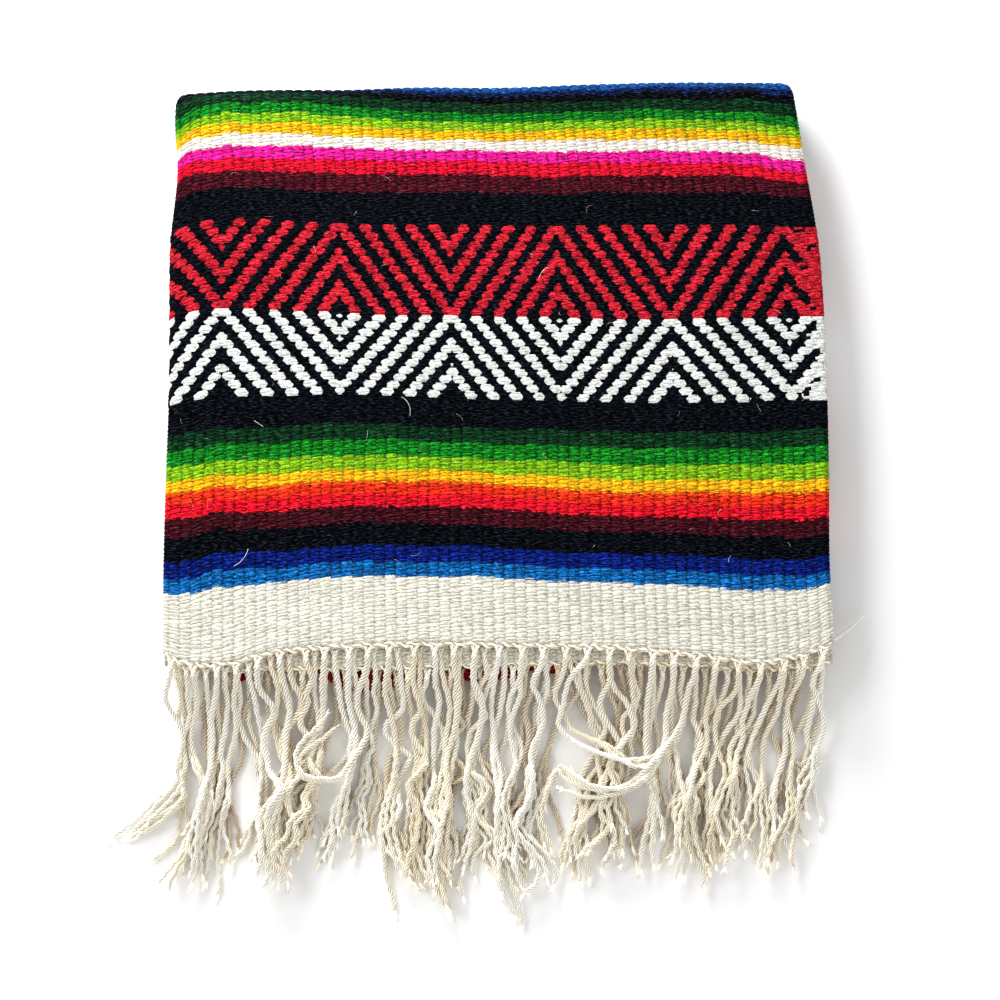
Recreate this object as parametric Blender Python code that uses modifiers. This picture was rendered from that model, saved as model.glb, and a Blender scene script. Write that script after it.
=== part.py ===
"""A Mexican serape lying folded flat on a table, for Blender 4.5 (metres, +Z up).

The web is one woven rectangle with a warp fringe at both ends. It is folded in half across its
width, which puts a soft fold at the left and both selvedges at the right, then twice along its
length. That gives eight sheets: the two fringed ends lie in front on top, the middle of the web
is the rounded fold in front at the bottom, and the thick double fold is at the back. The origin
is on the underside in the middle of the folded web. +Y points from the fringe to the back fold.
"""

import math

import bmesh
import bpy
import numpy as np
from mathutils import Vector

# Driving dimensions
SHEET = 0.00325          # height that one folded sheet takes up
WALL = 0.0026            # thickness of the cloth itself
GAP = 0.0003             # clearance between pieces
SHEETS = 8
HEIGHT = SHEETS * SHEET
CURL = 0.0030            # outer radius of the left edge, where a pair of sheets turns over
NOSE_Y = -0.1760         # front of the middle fold
NOSE = 2 * SHEET         # its outer radius
NARROWING = 0.0030       # how far the ends of the back fold draw in
GROOVE_LEFT = 0.0028     # depth of the grooves between the turned pairs
GROOVE_RIGHT = 0.0022    # and between the selvedges
CORD = 0.0020            # width of a fringe cord, pressed flat by a third where cords lie close
CORD_SPACE = 0.0030      # thickness of a free cord, and the room that each takes
CORDS_A_ROW = 31
FLOOR_GAP = 0.0005       # the cords end this far above the floor
HEM_STRIP = 0.0030       # depth of the twined cord that a row of fringe hangs from

# Outline of the folded web, seen from above, from its front to its back
SIDES = (
    # y, left edge, right edge
    (-0.180, -0.1832, 0.1812),
    (-0.158, -0.1834, 0.1818),
    (-0.110, -0.1844, 0.1812),
    (-0.060, -0.1852, 0.1826),
    (0.000, -0.1862, 0.1836),
    (0.040, -0.1878, 0.1842),
    (0.080, -0.1888, 0.1828),
    (0.125, -0.1884, 0.1776),
    (0.152, -0.1890, 0.1746),
    (0.184, -0.1892, 0.1710),
)
ENDS = (
    # x, upper hem, lower hem, back fold
    (-0.190, -0.1560, -0.1650, 0.1757),
    (-0.174, -0.1650, -0.1672, 0.1771),
    (-0.150, -0.1668, -0.1690, 0.1785),
    (-0.125, -0.1606, -0.1682, 0.1789),
    (-0.092, -0.1574, -0.1680, 0.1789),
    (-0.050, -0.1558, -0.1678, 0.1805),
    (0.000, -0.1562, -0.1658, 0.1803),
    (0.054, -0.1574, -0.1650, 0.1825),
    (0.108, -0.1616, -0.1664, 0.1837),
    (0.141, -0.1654, -0.1684, 0.1835),
    (0.163, -0.1620, -0.1676, 0.1833),
    (0.184, -0.1540, -0.1640, 0.1823),
)
# How far each selvedge stands out at the right, from the table up
SELVEDGES = (-0.0020, 0.0004, -0.0032, -0.0012, 0.0008, -0.0026, -0.0006, 0.0)

# The locks that the fringe falls into, from left to right
LOCKS = (
    # root, waist x, waist y, low x, low y, tip x, tip y
    (-0.178, -0.176, -0.205, -0.183, -0.235, -0.203, -0.262),
    (-0.163, -0.164, -0.204, -0.160, -0.240, -0.172, -0.284),
    (-0.148, -0.152, -0.200, -0.155, -0.243, -0.160, -0.282),
    (-0.130, -0.126, -0.205, -0.121, -0.245, -0.126, -0.280),
    (-0.112, -0.108, -0.206, -0.114, -0.243, -0.119, -0.277),
    (-0.092, -0.096, -0.204, -0.110, -0.236, -0.106, -0.272),
    (-0.074, -0.074, -0.200, -0.078, -0.238, -0.084, -0.272),
    (-0.054, -0.052, -0.204, -0.055, -0.245, -0.050, -0.292),
    (-0.036, -0.033, -0.208, -0.038, -0.244, -0.034, -0.280),
    (-0.020, -0.020, -0.204, -0.025, -0.242, -0.023, -0.293),
    (-0.002, -0.008, -0.202, -0.002, -0.244, 0.008, -0.294),
    (0.016, 0.010, -0.204, 0.008, -0.244, 0.007, -0.282),
    (0.034, 0.018, -0.206, 0.014, -0.240, 0.013, -0.279),
    (0.052, 0.064, -0.204, 0.052, -0.236, 0.046, -0.280),
    (0.072, 0.070, -0.210, 0.066, -0.240, 0.060, -0.274),
    (0.090, 0.086, -0.206, 0.090, -0.240, 0.086, -0.276),
    (0.106, 0.104, -0.204, 0.106, -0.246, 0.110, -0.286),
    (0.124, 0.116, -0.206, 0.108, -0.244, 0.112, -0.272),
    (0.142, 0.132, -0.204, 0.124, -0.242, 0.126, -0.268),
    (0.158, 0.150, -0.206, 0.146, -0.242, 0.142, -0.278),
    (0.176, 0.172, -0.208, 0.164, -0.240, 0.166, -0.266),
)
# The rows of fringe in the order in which they lie, from the table up
ROWS = (
    # node, sheet it hangs from, column of its hem in ENDS, reach beside its lock's, first root
    ("fringe_inner_lower", 4, 2, 0.80, 0.72),
    ("fringe_inner_upper", 5, 2, 0.85, 0.26),
    ("fringe_outer_lower", 6, 1, 0.93, 0.74),
    ("fringe_outer_upper", 7, 1, 1.03, 0.24),
)

COLOURS = {
    "woven wool": (0.55, 0.02, 0.03, 1.0),
    "folded wool": (0.30, 0.05, 0.04, 1.0),
    "cotton warp": (0.72, 0.66, 0.54, 1.0),
}

bpy.context.scene.unit_settings.length_unit = "MILLIMETERS"
for old in list(bpy.data.objects):
    bpy.data.objects.remove(old, do_unlink=True)
serape = bpy.data.collections.new("Mexican serape")
bpy.context.scene.collection.children.link(serape)


def smooth(places, values, at):
    """Values at new places on a soft curve through the given ones."""
    places, values = np.array(places), np.array(values)
    slopes = np.gradient(values, places)
    i = np.clip(np.searchsorted(places, at) - 1, 0, len(places) - 2)
    span = places[i + 1] - places[i]
    t = np.clip((at - places[i]) / span, 0, 1)
    rise = t * t * (3 - 2 * t)
    lift = span * t * (1 - t)
    return (
        values[i] * (1 - rise)
        + values[i + 1] * rise
        + lift * ((1 - t) * slopes[i] - t * slopes[i + 1])
    )


def read_table(table, column, at):
    return smooth([row[0] for row in table], [row[column] for row in table], at)


def add_piece(bm, name, material):
    """A mesh object in the serape's collection, in its own copy of the material."""
    mesh = bpy.data.meshes.new(name)
    bm.to_mesh(mesh)
    bm.free()
    piece = bpy.data.objects.new(name, mesh)
    serape.objects.link(piece)
    cloth = bpy.data.materials.new(f"{material}, {name}")
    cloth.use_nodes = True
    finish = cloth.node_tree.nodes["Principled BSDF"]
    finish.inputs["Base Color"].default_value = COLOURS[material]
    finish.inputs["Roughness"].default_value = 0.9
    mesh.materials.append(cloth)
    return piece


# The outer sheet: one wall that runs from the upper hem over the top, round the back fold, along
# the table and up round the middle fold. Its left edge turns over the sheet below it.
FLAT_COLUMNS, CURL_COLUMNS = 22, 5
TOP_ROWS, FOLD_ROWS, UNDER_ROWS, NOSE_ROWS = 20, 8, 5, 6
SETTLING = 4             # rounds that find where a slanted edge crosses a curved end


def outer_section(row, x):
    """Place (y, z) on the outer sheet's outside, and the way (y, z) into the stack from there."""
    fold = HEIGHT / 2
    back = read_table(ENDS, 3, x) - fold
    if row <= TOP_ROWS:
        front = read_table(ENDS, 1, x)
        return front + (back - front) * row / TOP_ROWS, HEIGHT, 0.0, -1.0
    row -= TOP_ROWS
    if row <= FOLD_ROWS:
        turn = math.pi * row / FOLD_ROWS
        s, c = math.sin(turn), math.cos(turn)
        return back + fold * s, fold + fold * c, -s, -c
    row -= FOLD_ROWS
    front = NOSE_Y + NOSE
    if row <= UNDER_ROWS:
        return back + (front - back) * row / UNDER_ROWS, 0.0, 0.0, 1.0
    turn = math.pi * (row - UNDER_ROWS) / NOSE_ROWS
    s, c = math.sin(turn), math.cos(turn)
    return front - NOSE * s, NOSE - NOSE * c, s, c


def outer_point(column, row):
    across = min(column / FLAT_COLUMNS, 1)
    turn = math.pi * max(0, column - FLAT_COLUMNS) / CURL_COLUMNS
    x = 0.0
    for _ in range(SETTLING):
        y, z, into_y, into_z = outer_section(row, x)
        past_fold = max(0, y - (read_table(ENDS, 3, x) - HEIGHT / 2)) / (HEIGHT / 2)
        left = read_table(SIDES, 1, y) + NARROWING * past_fold**2
        right = read_table(SIDES, 2, y) - NARROWING * past_fold**2
        right += np.interp(z, (0, HEIGHT), (SELVEDGES[0], SELVEDGES[-1]))
        x = right + (left + CURL - right) * across - CURL * math.sin(turn)
    depth = CURL * (1 - math.cos(turn))
    return Vector((x, y + into_y * depth, z + into_z * depth))


columns = FLAT_COLUMNS + CURL_COLUMNS
rows = TOP_ROWS + FOLD_ROWS + UNDER_ROWS + NOSE_ROWS
bm = bmesh.new()
bmesh.ops.create_grid(bm, x_segments=columns, y_segments=rows, size=0.5)
for vert in bm.verts:
    vert.co = outer_point(round((vert.co.x + 0.5) * columns), round((vert.co.y + 0.5) * rows))
bmesh.ops.reverse_faces(bm, faces=bm.faces)
outer = add_piece(bm, "outer_cloth", "woven wool")
wall = outer.modifiers.new("Wall", "SOLIDIFY")
wall.thickness = WALL
wall.offset = -1


# The hidden sheets: rings one above another, drawn in at each groove between two layers
SIDE_POINTS, END_POINTS = 11, 16
FULL = (0.27, 0.73)      # a selvedge stands out fully between these shares of its sheet's height
LIP = 0.0005             # step that keeps two corners of a ring apart
CURL_ROOM = CURL + 5 * GAP    # the turned edge of the outer sheet, with clearance
NOSE_ROOM = 4 * GAP           # clearance behind the end of the outer sheet


def pair_inset(z):
    """How far the turned left edge draws in at this height."""
    sheet = z / SHEET
    if not 2 < sheet < SHEETS - 2:
        return CURL_ROOM
    from_middle = (sheet % 2) - 1
    return GROOVE_LEFT * (1 - math.sqrt(1 - from_middle**2))


def front_edge(z, x):
    """Front of the hidden sheets: the tongue in the middle fold, then the two hems above it."""
    inside = NOSE - WALL - 3 * GAP
    if z < NOSE + inside:  # the tongue that fills the middle fold
        return NOSE_Y + NOSE - math.sqrt(max(0, inside**2 - (z - NOSE) ** 2))
    if z < 2 * NOSE + GAP / 2:
        return NOSE_Y + NOSE + NOSE_ROOM
    hem = 2 if z < 6 * SHEET + GAP / 2 else 1
    return read_table(ENDS, hem, x) + (GAP if hem == 1 else 0)


def round_reach(radius, z):
    return math.sqrt(max(0, radius**2 - (z - HEIGHT / 2) ** 2))


def layer_ring(z, sheet, groove):
    """Outline of the hidden sheets at one height, anticlockwise from the front left corner."""
    inset = pair_inset(z)
    in_nose = z < 2 * NOSE
    corner = CURL_ROOM if in_nose else inset + LIP
    left_x = read_table(SIDES, 1, NOSE_Y)
    right_x = read_table(SIDES, 2, NOSE_Y) + SELVEDGES[sheet] - groove
    ring = []
    for x in np.linspace(left_x + corner, right_x, END_POINTS):
        ring.append((x, front_edge(z, x)))
    fold = HEIGHT / 2
    back_right, back_left = (read_table(ENDS, 3, x) - fold for x in (right_x, left_x))
    for y in np.linspace(ring[-1][1], back_right, SIDE_POINTS)[1:]:
        x = read_table(SIDES, 2, y) + SELVEDGES[sheet] - groove
        if y == back_right:
            x -= NARROWING
        ring.append((x, y))
    reach = round_reach(fold - WALL - 3 * GAP, z)
    clear_x = read_table(SIDES, 1, back_left) + NARROWING + CURL_ROOM
    for x in np.linspace(ring[-1][0] - LIP, clear_x, END_POINTS):
        ring.append((x, read_table(ENDS, 3, x) - fold + max(reach, LIP)))
    step_y = back_left + min(round_reach(fold - 2 * CURL - GAP, z), reach - 2 * LIP, fold / 2)
    step_y = max(step_y, back_left - LIP)
    ring.append((clear_x, step_y))
    front_y = front_edge(z, left_x) + GAP
    if in_nose:
        front_y = max(front_y, NOSE_Y + NOSE + NOSE_ROOM + GAP)
    for y in np.linspace(step_y - LIP, front_y + LIP, SIDE_POINTS):
        ring.append((read_table(SIDES, 1, y) + inset, y))
    ring.append((left_x + corner, front_y))
    return [Vector((x, y, z)) for x, y in ring]


lowest, highest = WALL + GAP, HEIGHT - WALL - GAP
levels = [(lowest, 1, GROOVE_RIGHT)]
for sheet in range(1, SHEETS - 1):
    if sheet > 1:
        levels.append((sheet * SHEET, sheet, GROOVE_RIGHT))
    if sheet * SHEET in (2 * NOSE, 6 * SHEET):
        levels.append((sheet * SHEET + GAP, sheet, GROOVE_RIGHT))
    for share in FULL:
        levels.append(((sheet + share) * SHEET, sheet, 0))
levels.append((highest, SHEETS - 2, GROOVE_RIGHT))

bm = bmesh.new()
below = None
for z, sheet, groove in levels:
    verts = [bm.verts.new(place) for place in layer_ring(z, sheet, groove)]
    edges = [bm.edges.new((a, b)) for a, b in zip(verts, verts[1:] + verts[:1])]
    if below is None:
        bm.faces.new(list(reversed(verts)))
    else:
        for i in range(len(verts)):
            j = (i + 1) % len(verts)
            bm.faces.new((below[i], below[j], verts[j], verts[i]))
    below = verts
bm.faces.new(below)
add_piece(bm, "folded_layers", "folded wool")


# The fringe. Each cord keeps to its lock, and is laid over the cloth and over the cords below it.
CELL = 0.001             # grid of the heights that the next cord has to clear
PILE_X = np.arange(-0.235, 0.235, CELL)
PILE_Y = np.arange(-0.330, -0.150, CELL)
STATIONS = 8             # corners along a cord
CHECKS = 9               # places tested between two corners
SWEEPS = 60
SAG = 0.0016             # how far a free corner sinks below the mean of its neighbours
HELD = 0.1               # share of a cord's first stretch that the hem holds up
STRAY = 0.0014           # usual wandering of a cord from its lock
STRAIGHT = 0.6           # how much of its way to the waist a cord hangs straight at first
NEIGHBOUR_LOCK = 0.10    # share of cords that join the lock next to their own
SHORTEST, LONGEST = 0.90, 1.04
LOCK_HALF = 0.009        # half the width of a lock at its root
SPREAD = (0.95, 0.95, 1.05)  # its width at its waist, low down and at its tip, beside that


def bare_heights():
    """The lowest that a cord's middle can be over the table and the folded cloth."""
    room = CORD_SPACE / 2
    past_nose = PILE_Y - (NOSE_Y + NOSE)
    round_nose = np.sqrt(np.maximum((NOSE + room) ** 2 - past_nose**2, 0))
    over = np.where(past_nose > 0, 2 * NOSE + room, np.where(round_nose > 0, NOSE + round_nose, 0))
    over = np.maximum(over, CORD / 2 + FLOOR_GAP)
    inner_hem = read_table(ENDS, 2, PILE_X) - GAP - HEM_STRIP - room
    on_hem = PILE_Y[:, None] > inner_hem[None, :]
    return np.where(on_hem, 6 * SHEET + room, over[:, None])


def plan_of(root, lock, reach, stray):
    """A cord's route seen from above, from its root to its tip."""
    aside = np.clip(root.x - lock[0], -LOCK_HALF, LOCK_HALF)
    waist, low, tip = (lock[i] + spread * aside for i, spread in zip((1, 3, 5), SPREAD))
    knots = np.array([
        (root.x, root.y),
        (waist + STRAIGHT * (root.x - waist) + stray[0], (root.y + lock[2]) / 2),
        (waist + stray[1], lock[2]),
        (low + stray[2], lock[4]),
        (tip + stray[3], root.y + (lock[6] - root.y) * reach + stray[4]),
    ])
    gone = np.append(0, np.cumsum(np.hypot(*np.diff(knots, axis=0).T)))
    at = np.linspace(0, gone[-1], STATIONS)
    return np.column_stack([smooth(gone, knots[:, 0], at), smooth(gone, knots[:, 1], at)])


def lay_cord(pile, plan, root_z):
    """Heights at the corners of a cord that leaves its root level and sinks onto the pile."""
    t = (np.arange(CHECKS) + 0.5) / CHECKS
    needed = []
    for a, b in zip(plan, plan[1:]):
        column = np.round((a[0] + (b[0] - a[0]) * t - PILE_X[0]) / CELL).astype(int)
        row = np.round((a[1] + (b[1] - a[1]) * t - PILE_Y[0]) / CELL).astype(int)
        needed.append(pile[row, column])
    z = np.linspace(root_z, CORD / 2 + FLOOR_GAP, STATIONS)
    for _ in range(SWEEPS):
        z[1:-1] = (z[:-2] + z[2:]) / 2 - SAG
        z[-1] = z[-2] - SAG
        for i, heights in enumerate(needed):
            for part, least in zip(t, heights):
                short = least - (1 - part) * z[i] - part * z[i + 1]
                if short > 0 and i:
                    share = short / ((1 - part) ** 2 + part**2)
                    z[i] += share * (1 - part)
                    z[i + 1] += share * part
                elif short > 0 and part > HELD:
                    z[1] += short / part
    return z


def add_to_pile(pile, places):
    """Raise the pile round a cord, so that the next one passes over it."""
    reach = math.ceil(CORD_SPACE / CELL)
    for a, b in zip(places, places[1:]):
        for t in np.linspace(0, 1, 2 * CHECKS):
            x, y, z = a + (b - a) * t
            column = round((x - PILE_X[0]) / CELL)
            row = round((y - PILE_Y[0]) / CELL)
            near_y = slice(row - reach, row + reach + 1)
            near_x = slice(column - reach, column + reach + 1)
            off = (PILE_Y[near_y, None] - y) ** 2 + (PILE_X[None, near_x] - x) ** 2
            over = np.where(off < CORD_SPACE**2, z + np.sqrt(np.maximum(CORD_SPACE**2 - off, 0)), 0)
            pile[near_y, near_x] = np.maximum(pile[near_y, near_x], over)


def hem_strip(bm, hem, z, roots):
    """The twined cord along a hem. Returns its front faces at the roots of the fringe."""
    cuts = [SIDES[0][1] + HEM_STRIP / 2]
    for x in roots:
        cuts += [x - CORD / 2, x + CORD / 2]
    cuts.append(SIDES[0][2] - HEM_STRIP / 2)
    stations = []
    for x in cuts:
        back = read_table(ENDS, hem, x) - 2 * GAP
        front = back - HEM_STRIP
        low, high = z - WALL / 2, z + WALL / 2
        outline = ((back, low), (back, high), (front, high), (front, low))
        stations.append([bm.verts.new((x, y, height)) for y, height in outline])
    fronts = []
    for a, b in zip(stations, stations[1:]):
        for i in range(4):
            j = (i + 1) % 4
            face = bm.faces.new((a[i], a[j], b[j], b[i]))
            if i == 2:
                fronts.append(face)
    bm.faces.new(list(reversed(stations[0])))
    bm.faces.new(stations[-1])
    return fronts[1::2]


def draw_out_cord(bm, face, root, places):
    """Extrude a face of the hem strip through a cord's stations."""
    corners = [(-1 if vert.co.x > root.x else 1, 1 if vert.co.z > root.z else -1)
               for vert in face.verts]
    for i in range(1, STATIONS):
        behind = (places[i] - places[i - 1]).normalized()
        ahead = (places[min(i + 1, STATIONS - 1)] - places[i]).normalized()
        along = (behind + ahead).normalized()
        side = along.cross(Vector((0, 0, 1))).normalized()
        up = side.cross(along)
        face = bmesh.ops.extrude_discrete_faces(bm, faces=[face])["faces"][0]
        for vert, (a, b) in zip(face.verts, corners):
            vert.co = places[i] + (side * a + up * b) * CORD / 2


draw = np.random.default_rng(2)
pile = bare_heights()
pitch = (SIDES[0][2] - SIDES[0][1] - 2 * HEM_STRIP) / CORDS_A_ROW
for name, sheet, hem, reach, offset in ROWS:
    first = SIDES[0][1] + HEM_STRIP + pitch * offset
    roots = [first + pitch * i for i in range(CORDS_A_ROW)]
    bm = bmesh.new()
    faces = hem_strip(bm, hem, (sheet + 0.5) * SHEET, roots)
    for i in draw.permutation(CORDS_A_ROW):
        root = faces[i].calc_center_median()
        nearest = sorted(LOCKS, key=lambda lock: abs(lock[0] - root.x))
        lock = nearest[1] if draw.random() < NEIGHBOUR_LOCK else nearest[0]
        length = reach * draw.uniform(SHORTEST, LONGEST)
        plan = plan_of(root, lock, length, draw.normal(0, STRAY, 5))
        places = np.column_stack([plan, lay_cord(pile, plan, root.z)])
        places[0] = root
        add_to_pile(pile, places)
        draw_out_cord(bm, faces[i], root, [Vector(place) for place in places])
    add_piece(bm, name, "cotton warp")
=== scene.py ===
"""A Mexican serape folded flat on a table: what the eye sees of it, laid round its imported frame.

The real one is a single wool web, woven so tightly on cotton warps that only the weft shows. It is
folded once across and twice along, and the warp ends are twisted into a fringe of cords.
"""

import math

import bmesh
import bpy
import numpy as np
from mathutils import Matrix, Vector


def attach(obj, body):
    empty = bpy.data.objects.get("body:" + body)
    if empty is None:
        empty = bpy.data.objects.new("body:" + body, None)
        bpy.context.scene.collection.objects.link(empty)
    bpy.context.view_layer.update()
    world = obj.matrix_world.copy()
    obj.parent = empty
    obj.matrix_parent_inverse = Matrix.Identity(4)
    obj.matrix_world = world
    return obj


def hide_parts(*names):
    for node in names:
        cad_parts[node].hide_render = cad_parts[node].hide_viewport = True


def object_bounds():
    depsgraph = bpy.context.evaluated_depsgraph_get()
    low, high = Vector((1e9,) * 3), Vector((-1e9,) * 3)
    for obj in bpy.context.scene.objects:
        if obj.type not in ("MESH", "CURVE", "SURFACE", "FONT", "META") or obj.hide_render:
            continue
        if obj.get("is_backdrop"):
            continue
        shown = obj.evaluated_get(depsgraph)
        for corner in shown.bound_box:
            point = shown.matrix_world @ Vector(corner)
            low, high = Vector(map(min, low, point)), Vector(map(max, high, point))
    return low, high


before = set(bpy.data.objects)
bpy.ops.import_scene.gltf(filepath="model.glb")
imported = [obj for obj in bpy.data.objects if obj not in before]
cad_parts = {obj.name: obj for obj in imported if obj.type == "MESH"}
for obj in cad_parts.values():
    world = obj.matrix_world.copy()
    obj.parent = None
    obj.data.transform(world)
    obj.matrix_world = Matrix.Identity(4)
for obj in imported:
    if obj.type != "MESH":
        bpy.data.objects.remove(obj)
packed_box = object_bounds()


# Table and lamps. A matt white table in an even white room. One soft lamp high at the left and one
# low at the back throw soft shadows to the right and the front, and a wide weak one fills them in.
def linear(colour):
    """An sRGB hex colour as linear RGBA."""
    parts = [int(colour[i:i + 2], 16) / 255 for i in (1, 3, 5)]
    return [p / 12.92 if p <= 0.04045 else ((p + 0.055) / 1.055) ** 2.4 for p in parts] + [1.0]


def add_node(tree, kind, settings=(), inputs=()):
    """A shader node. An input is a value, an output, or a node, which gives its first output."""
    node = tree.nodes.new("ShaderNode" + kind)
    for name, setting in dict(settings).items():
        setattr(node, name, setting)
    for name, source in dict(inputs).items():
        source = source.outputs[0] if isinstance(source, bpy.types.Node) else source
        if isinstance(source, bpy.types.NodeSocket):
            tree.links.new(source, node.inputs[name])
        else:
            node.inputs[name].default_value = source
    return node


def new_material(name, **sockets):
    """A material with one Principled shader, and its tree and shader."""
    material = bpy.data.materials.new(name)
    material.use_nodes = True
    shader = material.node_tree.nodes["Principled BSDF"]
    for socket, value in sockets.items():
        shader.inputs[socket.replace("_", " ")].default_value = value
    return material, material.node_tree, shader


def mesh_of(bm, name):
    """The named mesh that was built in bmesh."""
    mesh = bpy.data.meshes.new(name)
    bm.to_mesh(mesh)
    bm.free()
    return mesh


def add_object(name, data):
    """A new object in the scene, of a mesh, a light or a camera."""
    thing = bpy.data.objects.new(name, data)
    bpy.context.scene.collection.objects.link(thing)
    return thing


TABLE_HALF = 3.0
bm = bmesh.new()
bmesh.ops.create_grid(bm, x_segments=1, y_segments=1, size=TABLE_HALF)
table = add_object("table", mesh_of(bm, "table"))
# Matt white paint: almost no gloss, a little brighter than the undyed cotton that lies on it
table_paint, _, _ = new_material("matt white paint", Base_Color=linear("#FBFBFB"), Roughness=0.95)
table.data.materials.append(table_paint)
table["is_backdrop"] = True

ROOM_LIGHT = 0.60
room = bpy.data.worlds.new("white room")
room.use_nodes = True
room.node_tree.nodes["Background"].inputs["Color"].default_value = linear("#FFFFFF")
room.node_tree.nodes["Background"].inputs["Strength"].default_value = ROOM_LIGHT
bpy.context.scene.world = room
bpy.context.scene.view_settings.view_transform = "Standard"

LAMPS = (
    # name, place, size, watts
    ("key lamp", (-1.00, 0.34, 0.98), 0.70, 8.9),
    ("low back lamp", (-0.42, 1.00, 0.40), 0.50, 18.5),
    ("fill lamp", (0.7, -1.1, 1.3), 1.4, 5.0),
)
for name, place, size, watts in LAMPS:
    light = bpy.data.lights.new(name, "AREA")
    light.shape = "DISK"
    light.size = size
    light.energy = watts
    lamp = add_object(name, light)
    lamp.location = place
    lamp.rotation_euler = (-Vector(place)).to_track_quat("-Z", "Y").to_euler()


# Camera. It looks down on the folded web from the fringe side, 76 degrees above the table, from a
# metre away, so that the back of the web is drawn only a little smaller than its front.
CAMERA_TILT = math.radians(76)
CAMERA_AWAY = 1.0
CAMERA_AIM = Vector((0.0, -0.074, 0.026))
lens = bpy.data.cameras.new("camera")
lens.lens = 65
lens.sensor_width = 36
camera = add_object("camera", lens)
towards_camera = Vector((0.0, -math.cos(CAMERA_TILT), math.sin(CAMERA_TILT)))
camera.location = CAMERA_AIM + CAMERA_AWAY * towards_camera
camera.rotation_euler = towards_camera.to_track_quat("Z", "Y").to_euler()
bpy.context.scene.camera = camera


# How the web lies. Folded across, it is a pair of sheets joined along the left. The pair starts at
# the upper hem, runs back over the top, round the back fold, forward along the table and up round
# the middle fold, and then back and forward again inside to the lower hem.
SHEET = 0.00325  # room that one sheet takes up
PAIR = 2 * SHEET
HEIGHT = 8 * SHEET
MIDDLE = HEIGHT / 2
NOSE_Y = -0.1760  # front of the middle fold
NARROWING = 0.0030  # how far the ends of the back fold draw in
NOSE_BACK = (
    # x, how far the middle fold lies back from its front, in mm
    (-0.184, 15.0),
    (-0.168, 12.0),
    (-0.152, 9.0),
    (-0.143, 2.0),
    (-0.135, 8.5),
    (-0.101, 8.0),
    (-0.089, 1.0),
    (-0.058, 1.5),
    (-0.046, 9.0),
    (-0.030, 9.0),
    (-0.020, 5.0),
    (0.005, 6.0),
    (0.018, 10.0),
    (0.030, 8.5),
    (0.042, 12.0),
    (0.100, 13.0),
    (0.160, 13.5),
    (0.184, 16.0),
)
SETTLING = 4  # rounds that find where a slanted edge crosses a curved end
WEB_WIDTH = 0.36478  # of the folded pair, from the turned edge to the selvedges
LEAF = SHEET / 2  # half a sheet's thickness, and the radius of its edges
HEM_START = 0.0034  # where a sheet begins to round over at its hem

SIDES = (
    # y, left edge, right edge
    (-0.180, -0.1832, 0.1812),
    (-0.158, -0.1834, 0.1818),
    (-0.110, -0.1852, 0.1812),
    (-0.060, -0.1860, 0.1830),
    (0.000, -0.1868, 0.1842),
    (0.040, -0.1884, 0.1842),
    (0.080, -0.1896, 0.1828),
    (0.125, -0.1876, 0.1776),
    (0.152, -0.1902, 0.1746),
    (0.184, -0.1904, 0.1710),
)
LEFT, RIGHT = 1, 2
ENDS = (
    # x, upper hem, lower hem, back fold
    (-0.190, -0.1560, -0.1650, 0.1757),
    (-0.174, -0.1650, -0.1672, 0.1771),
    (-0.150, -0.1668, -0.1690, 0.1785),
    (-0.125, -0.1606, -0.1682, 0.1789),
    (-0.092, -0.1574, -0.1680, 0.1789),
    (-0.050, -0.1558, -0.1678, 0.1805),
    (0.000, -0.1562, -0.1658, 0.1803),
    (0.054, -0.1574, -0.1650, 0.1825),
    (0.108, -0.1616, -0.1664, 0.1837),
    (0.141, -0.1654, -0.1684, 0.1835),
    (0.163, -0.1620, -0.1676, 0.1833),
    (0.184, -0.1540, -0.1640, 0.1823),
)
UPPER_HEM, LOWER_HEM, BACK_FOLD = 1, 2, 3
# How far each selvedge stands out at the right, from the table up
SELVEDGES = (-0.0020, 0.0004, -0.0032, -0.0012, 0.0008, -0.0026, -0.0006, 0.0)

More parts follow.
